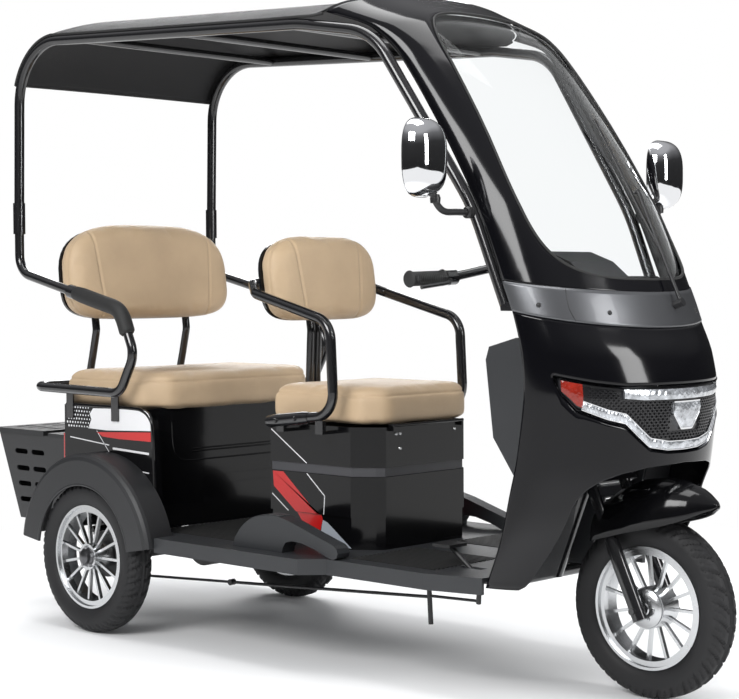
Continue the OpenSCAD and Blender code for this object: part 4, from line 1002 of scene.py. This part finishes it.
def oval(a, ry, rz):
    """Point at angle a of the mirror's rounded outline."""
    return ry * sgn_pow(math.cos(a), 0.66), rz * sgn_pow(math.sin(a), 0.66)


def mirror_shell(s):
    verts = []
    n, m = 21, 48
    for i in range(n):
        t = i / (n - 1) * math.pi / 2
        f = math.cos(t) ** 0.62 if i < n - 1 else 0.0
        for k in range(m):
            y, z = oval(2 * math.pi * k / m, 0.0605, 0.0870)
            verts.append(mirror_centre(s) + Vector((-0.014 + 0.050 * math.sin(t) ** 0.9, y * f, z * f)))
    faces = grid_faces(n, m, ring=True)
    faces.append(tuple(range(m - 1, -1, -1)))
    return verts, faces


piece("mirror_shells", *join_data([mirror_shell(s) for s in (-1, 1)]), "chrome", slot="chrome", angle=35)
ARM_RUN = [(1.293, 0.3168, 1.105), (1.292, 0.36, 1.105), (1.290, 0.402, 1.106), (1.289, 0.428, 1.125),
           (1.288, 0.445, 1.160)]
FOOT = [(0.0001, 0), (0.0135, 0), (0.0135, 0.012), (0.010, 0.016), (0.0001, 0.0165)]
KNUCKLE = [(0.0001, -0.006), (0.011, -0.005), (0.012, 0.006), (0.009, 0.014), (0.0001, 0.016)]
rims, glass, arms = [], [], []
for s in (-1, 1):
    c = mirror_centre(s)
    loop = [c + Vector((-0.0122, *oval(2 * math.pi * k / 64, 0.0580, 0.0848))) for k in range(64)]
    rims.append(tube_data(loop + [loop[0]], 0.0028, 8, caps=False))
    glass.append(([c + (p - c) * 0.955 + Vector((-0.0012, 0, 0)) for p in loop], [tuple(range(64))]))
    arms.append(tube_data(smooth_path([at(x, s * y, z) for x, y, z in ARM_RUN], 6), 0.0075, 12))
    arms.append(turned_data(FOOT, at(1.293, s * 0.3168, 1.105), (0, s, 0), 24))
    arms.append(turned_data(KNUCKLE, at(1.289, s * 0.430, 1.128), (0, 0, 1), 20))
piece("mirror_rims", *join_data(rims), "rubber", slot="tyre_rubber")
piece("mirror_glass", *join_data(glass), "mirror", smooth=False, slot="chrome")
ob = piece("mirror_arms", *join_data(arms), "axle_black", slot="black_steel", angle=40)
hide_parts("mirrors")


# Stage, light and camera
FADE = (1.3, 2.6)      # the floor turns to plain white between these distances


def stage_material():
    m = bpy.data.materials.new("floor_pale")
    m.use_nodes = True
    nt = m.node_tree
    b = nt.nodes["Principled BSDF"]
    noise = nt.nodes.new("ShaderNodeTexNoise")
    noise.inputs["Scale"].default_value = 3
    ramp = nt.nodes.new("ShaderNodeValToRGB")
    ramp.color_ramp.elements[0].color = (0.86, 0.86, 0.86, 1)
    ramp.color_ramp.elements[1].color = (0.90, 0.90, 0.90, 1)
    nt.links.new(noise.outputs["Fac"], ramp.inputs["Fac"])
    nt.links.new(ramp.outputs["Color"], b.inputs["Base Color"])
    b.inputs["Roughness"].default_value = 0.7
    co = nt.nodes.new("ShaderNodeTexCoord")
    length = nt.nodes.new("ShaderNodeVectorMath")
    length.operation = "LENGTH"
    fade = nt.nodes.new("ShaderNodeMapRange")
    fade.interpolation_type = "SMOOTHSTEP"
    fade.inputs["From Min"].default_value = FADE[0]
    fade.inputs["From Max"].default_value = FADE[1]
    glow = nt.nodes.new("ShaderNodeEmission")
    mix = nt.nodes.new("ShaderNodeMixShader")
    nt.links.new(co.outputs["Object"], length.inputs[0])
    nt.links.new(length.outputs["Value"], fade.inputs["Value"])
    nt.links.new(fade.outputs["Result"], mix.inputs["Fac"])
    nt.links.new(b.outputs[0], mix.inputs[1])
    nt.links.new(glow.outputs[0], mix.inputs[2])
    nt.links.new(mix.outputs[0], nt.nodes["Material Output"].inputs["Surface"])
    return m


me = bpy.data.meshes.new("floor")
me.from_pydata([(-14, -14, 0), (14, -14, 0), (14, 14, 0), (-14, 14, 0)], [], [(0, 1, 2, 3)])
me.materials.append(stage_material())
floor = bpy.data.objects.new("floor", me)
bpy.context.scene.collection.objects.link(floor)

# The camera and the glass see white, glossy rays see a dim sky, and the rest sees a soft bright one
world = bpy.data.worlds.new("studio")
bpy.context.scene.world = world
world.use_nodes = True
nt = world.node_tree
bg = nt.nodes["Background"]
bg.inputs["Color"].default_value = (0.95, 0.97, 1.0, 1)
bg.inputs["Strength"].default_value = 0.75
bg2 = nt.nodes.new("ShaderNodeBackground")
bg2.inputs["Color"].default_value = (1, 1, 1, 1)
bg2.inputs["Strength"].default_value = 1.0
dim = nt.nodes.new("ShaderNodeBackground")
dim.inputs["Strength"].default_value = 1.0
way = nt.nodes.new("ShaderNodeTexCoord")
parts = nt.nodes.new("ShaderNodeSeparateXYZ")
sky = nt.nodes.new("ShaderNodeValToRGB")
SKY = ((0.0, 0.02), (0.22, 0.035), (0.45, 0.16), (0.62, 0.42), (1.0, 0.5))     # height, tone
stops = sky.color_ramp.elements
for place, tone in SKY[1:-1]:
    stops.new(place)
for stop, (place, tone) in zip(stops, SKY):
    stop.color = (tone, tone, tone * 1.03, 1)
nt.links.new(way.outputs["Generated"], parts.inputs[0])
nt.links.new(parts.outputs["Z"], sky.inputs["Fac"])
nt.links.new(sky.outputs["Color"], dim.inputs["Color"])
path = nt.nodes.new("ShaderNodeLightPath")
soft = nt.nodes.new("ShaderNodeMixShader")
nt.links.new(path.outputs["Is Glossy Ray"], soft.inputs["Fac"])
nt.links.new(bg.outputs[0], soft.inputs[1])
nt.links.new(dim.outputs[0], soft.inputs[2])
mx = nt.nodes.new("ShaderNodeMath")
mx.operation = "MAXIMUM"
nt.links.new(path.outputs["Is Camera Ray"], mx.inputs[0])
nt.links.new(path.outputs["Is Transmission Ray"], mx.inputs[1])
mix = nt.nodes.new("ShaderNodeMixShader")
nt.links.new(mx.outputs[0], mix.inputs["Fac"])
nt.links.new(soft.outputs[0], mix.inputs[1])
nt.links.new(bg2.outputs[0], mix.inputs[2])
nt.links.new(mix.outputs[0], nt.nodes["World Output"].inputs["Surface"])


def area(name, loc, target, size, power):
    la = bpy.data.lights.new(name, "AREA")
    la.shape = "RECTANGLE"
    la.size, la.size_y = size
    la.energy = power
    ob = bpy.data.objects.new(name, la)
    ob.location = loc
    d = Vector(target) - Vector(loc)
    ob.rotation_euler = d.to_track_quat("-Z", "Y").to_euler()
    bpy.context.scene.collection.objects.link(ob)


area("key", (1.0, -4.2, 3.2), (0, 0, 0.7), (2.6, 1.6), 170)
area("front", (5.0, 0.8, 2.4), (0.4, 0, 0.8), (1.4, 2.4), 120)
area("rim", (-3.5, 3.0, 3.0), (0, 0, 0.8), (2.5, 1.6), 110)
area("top", (0, 0, 4.5), (0, 0, 0), (3.5, 2.5), 130)

# The camera was fitted to the photo; its focal length is in the photo's pixels
FOCAL_PX, PHOTO_WIDTH, SENSOR = 1787.94, 739, 36
cam_data = bpy.data.cameras.new("camera")
cam = bpy.data.objects.new("camera", cam_data)
bpy.context.scene.collection.objects.link(cam)
cam_data.sensor_width = SENSOR
cam_data.lens = FOCAL_PX / PHOTO_WIDTH * SENSOR
cam_data.clip_end = 60
rot = Matrix(((0.725241, -0.021822, 0.68815), (0.688481, 0.02957, -0.724652),
              (-0.004535, 0.999324, 0.036469)))
cam.matrix_world = Matrix.Translation(at(3.8936, -3.3847, 0.9454)) @ rot.to_4x4()
bpy.context.scene.camera = cam
bpy.context.scene.view_settings.view_transform = "Standard"
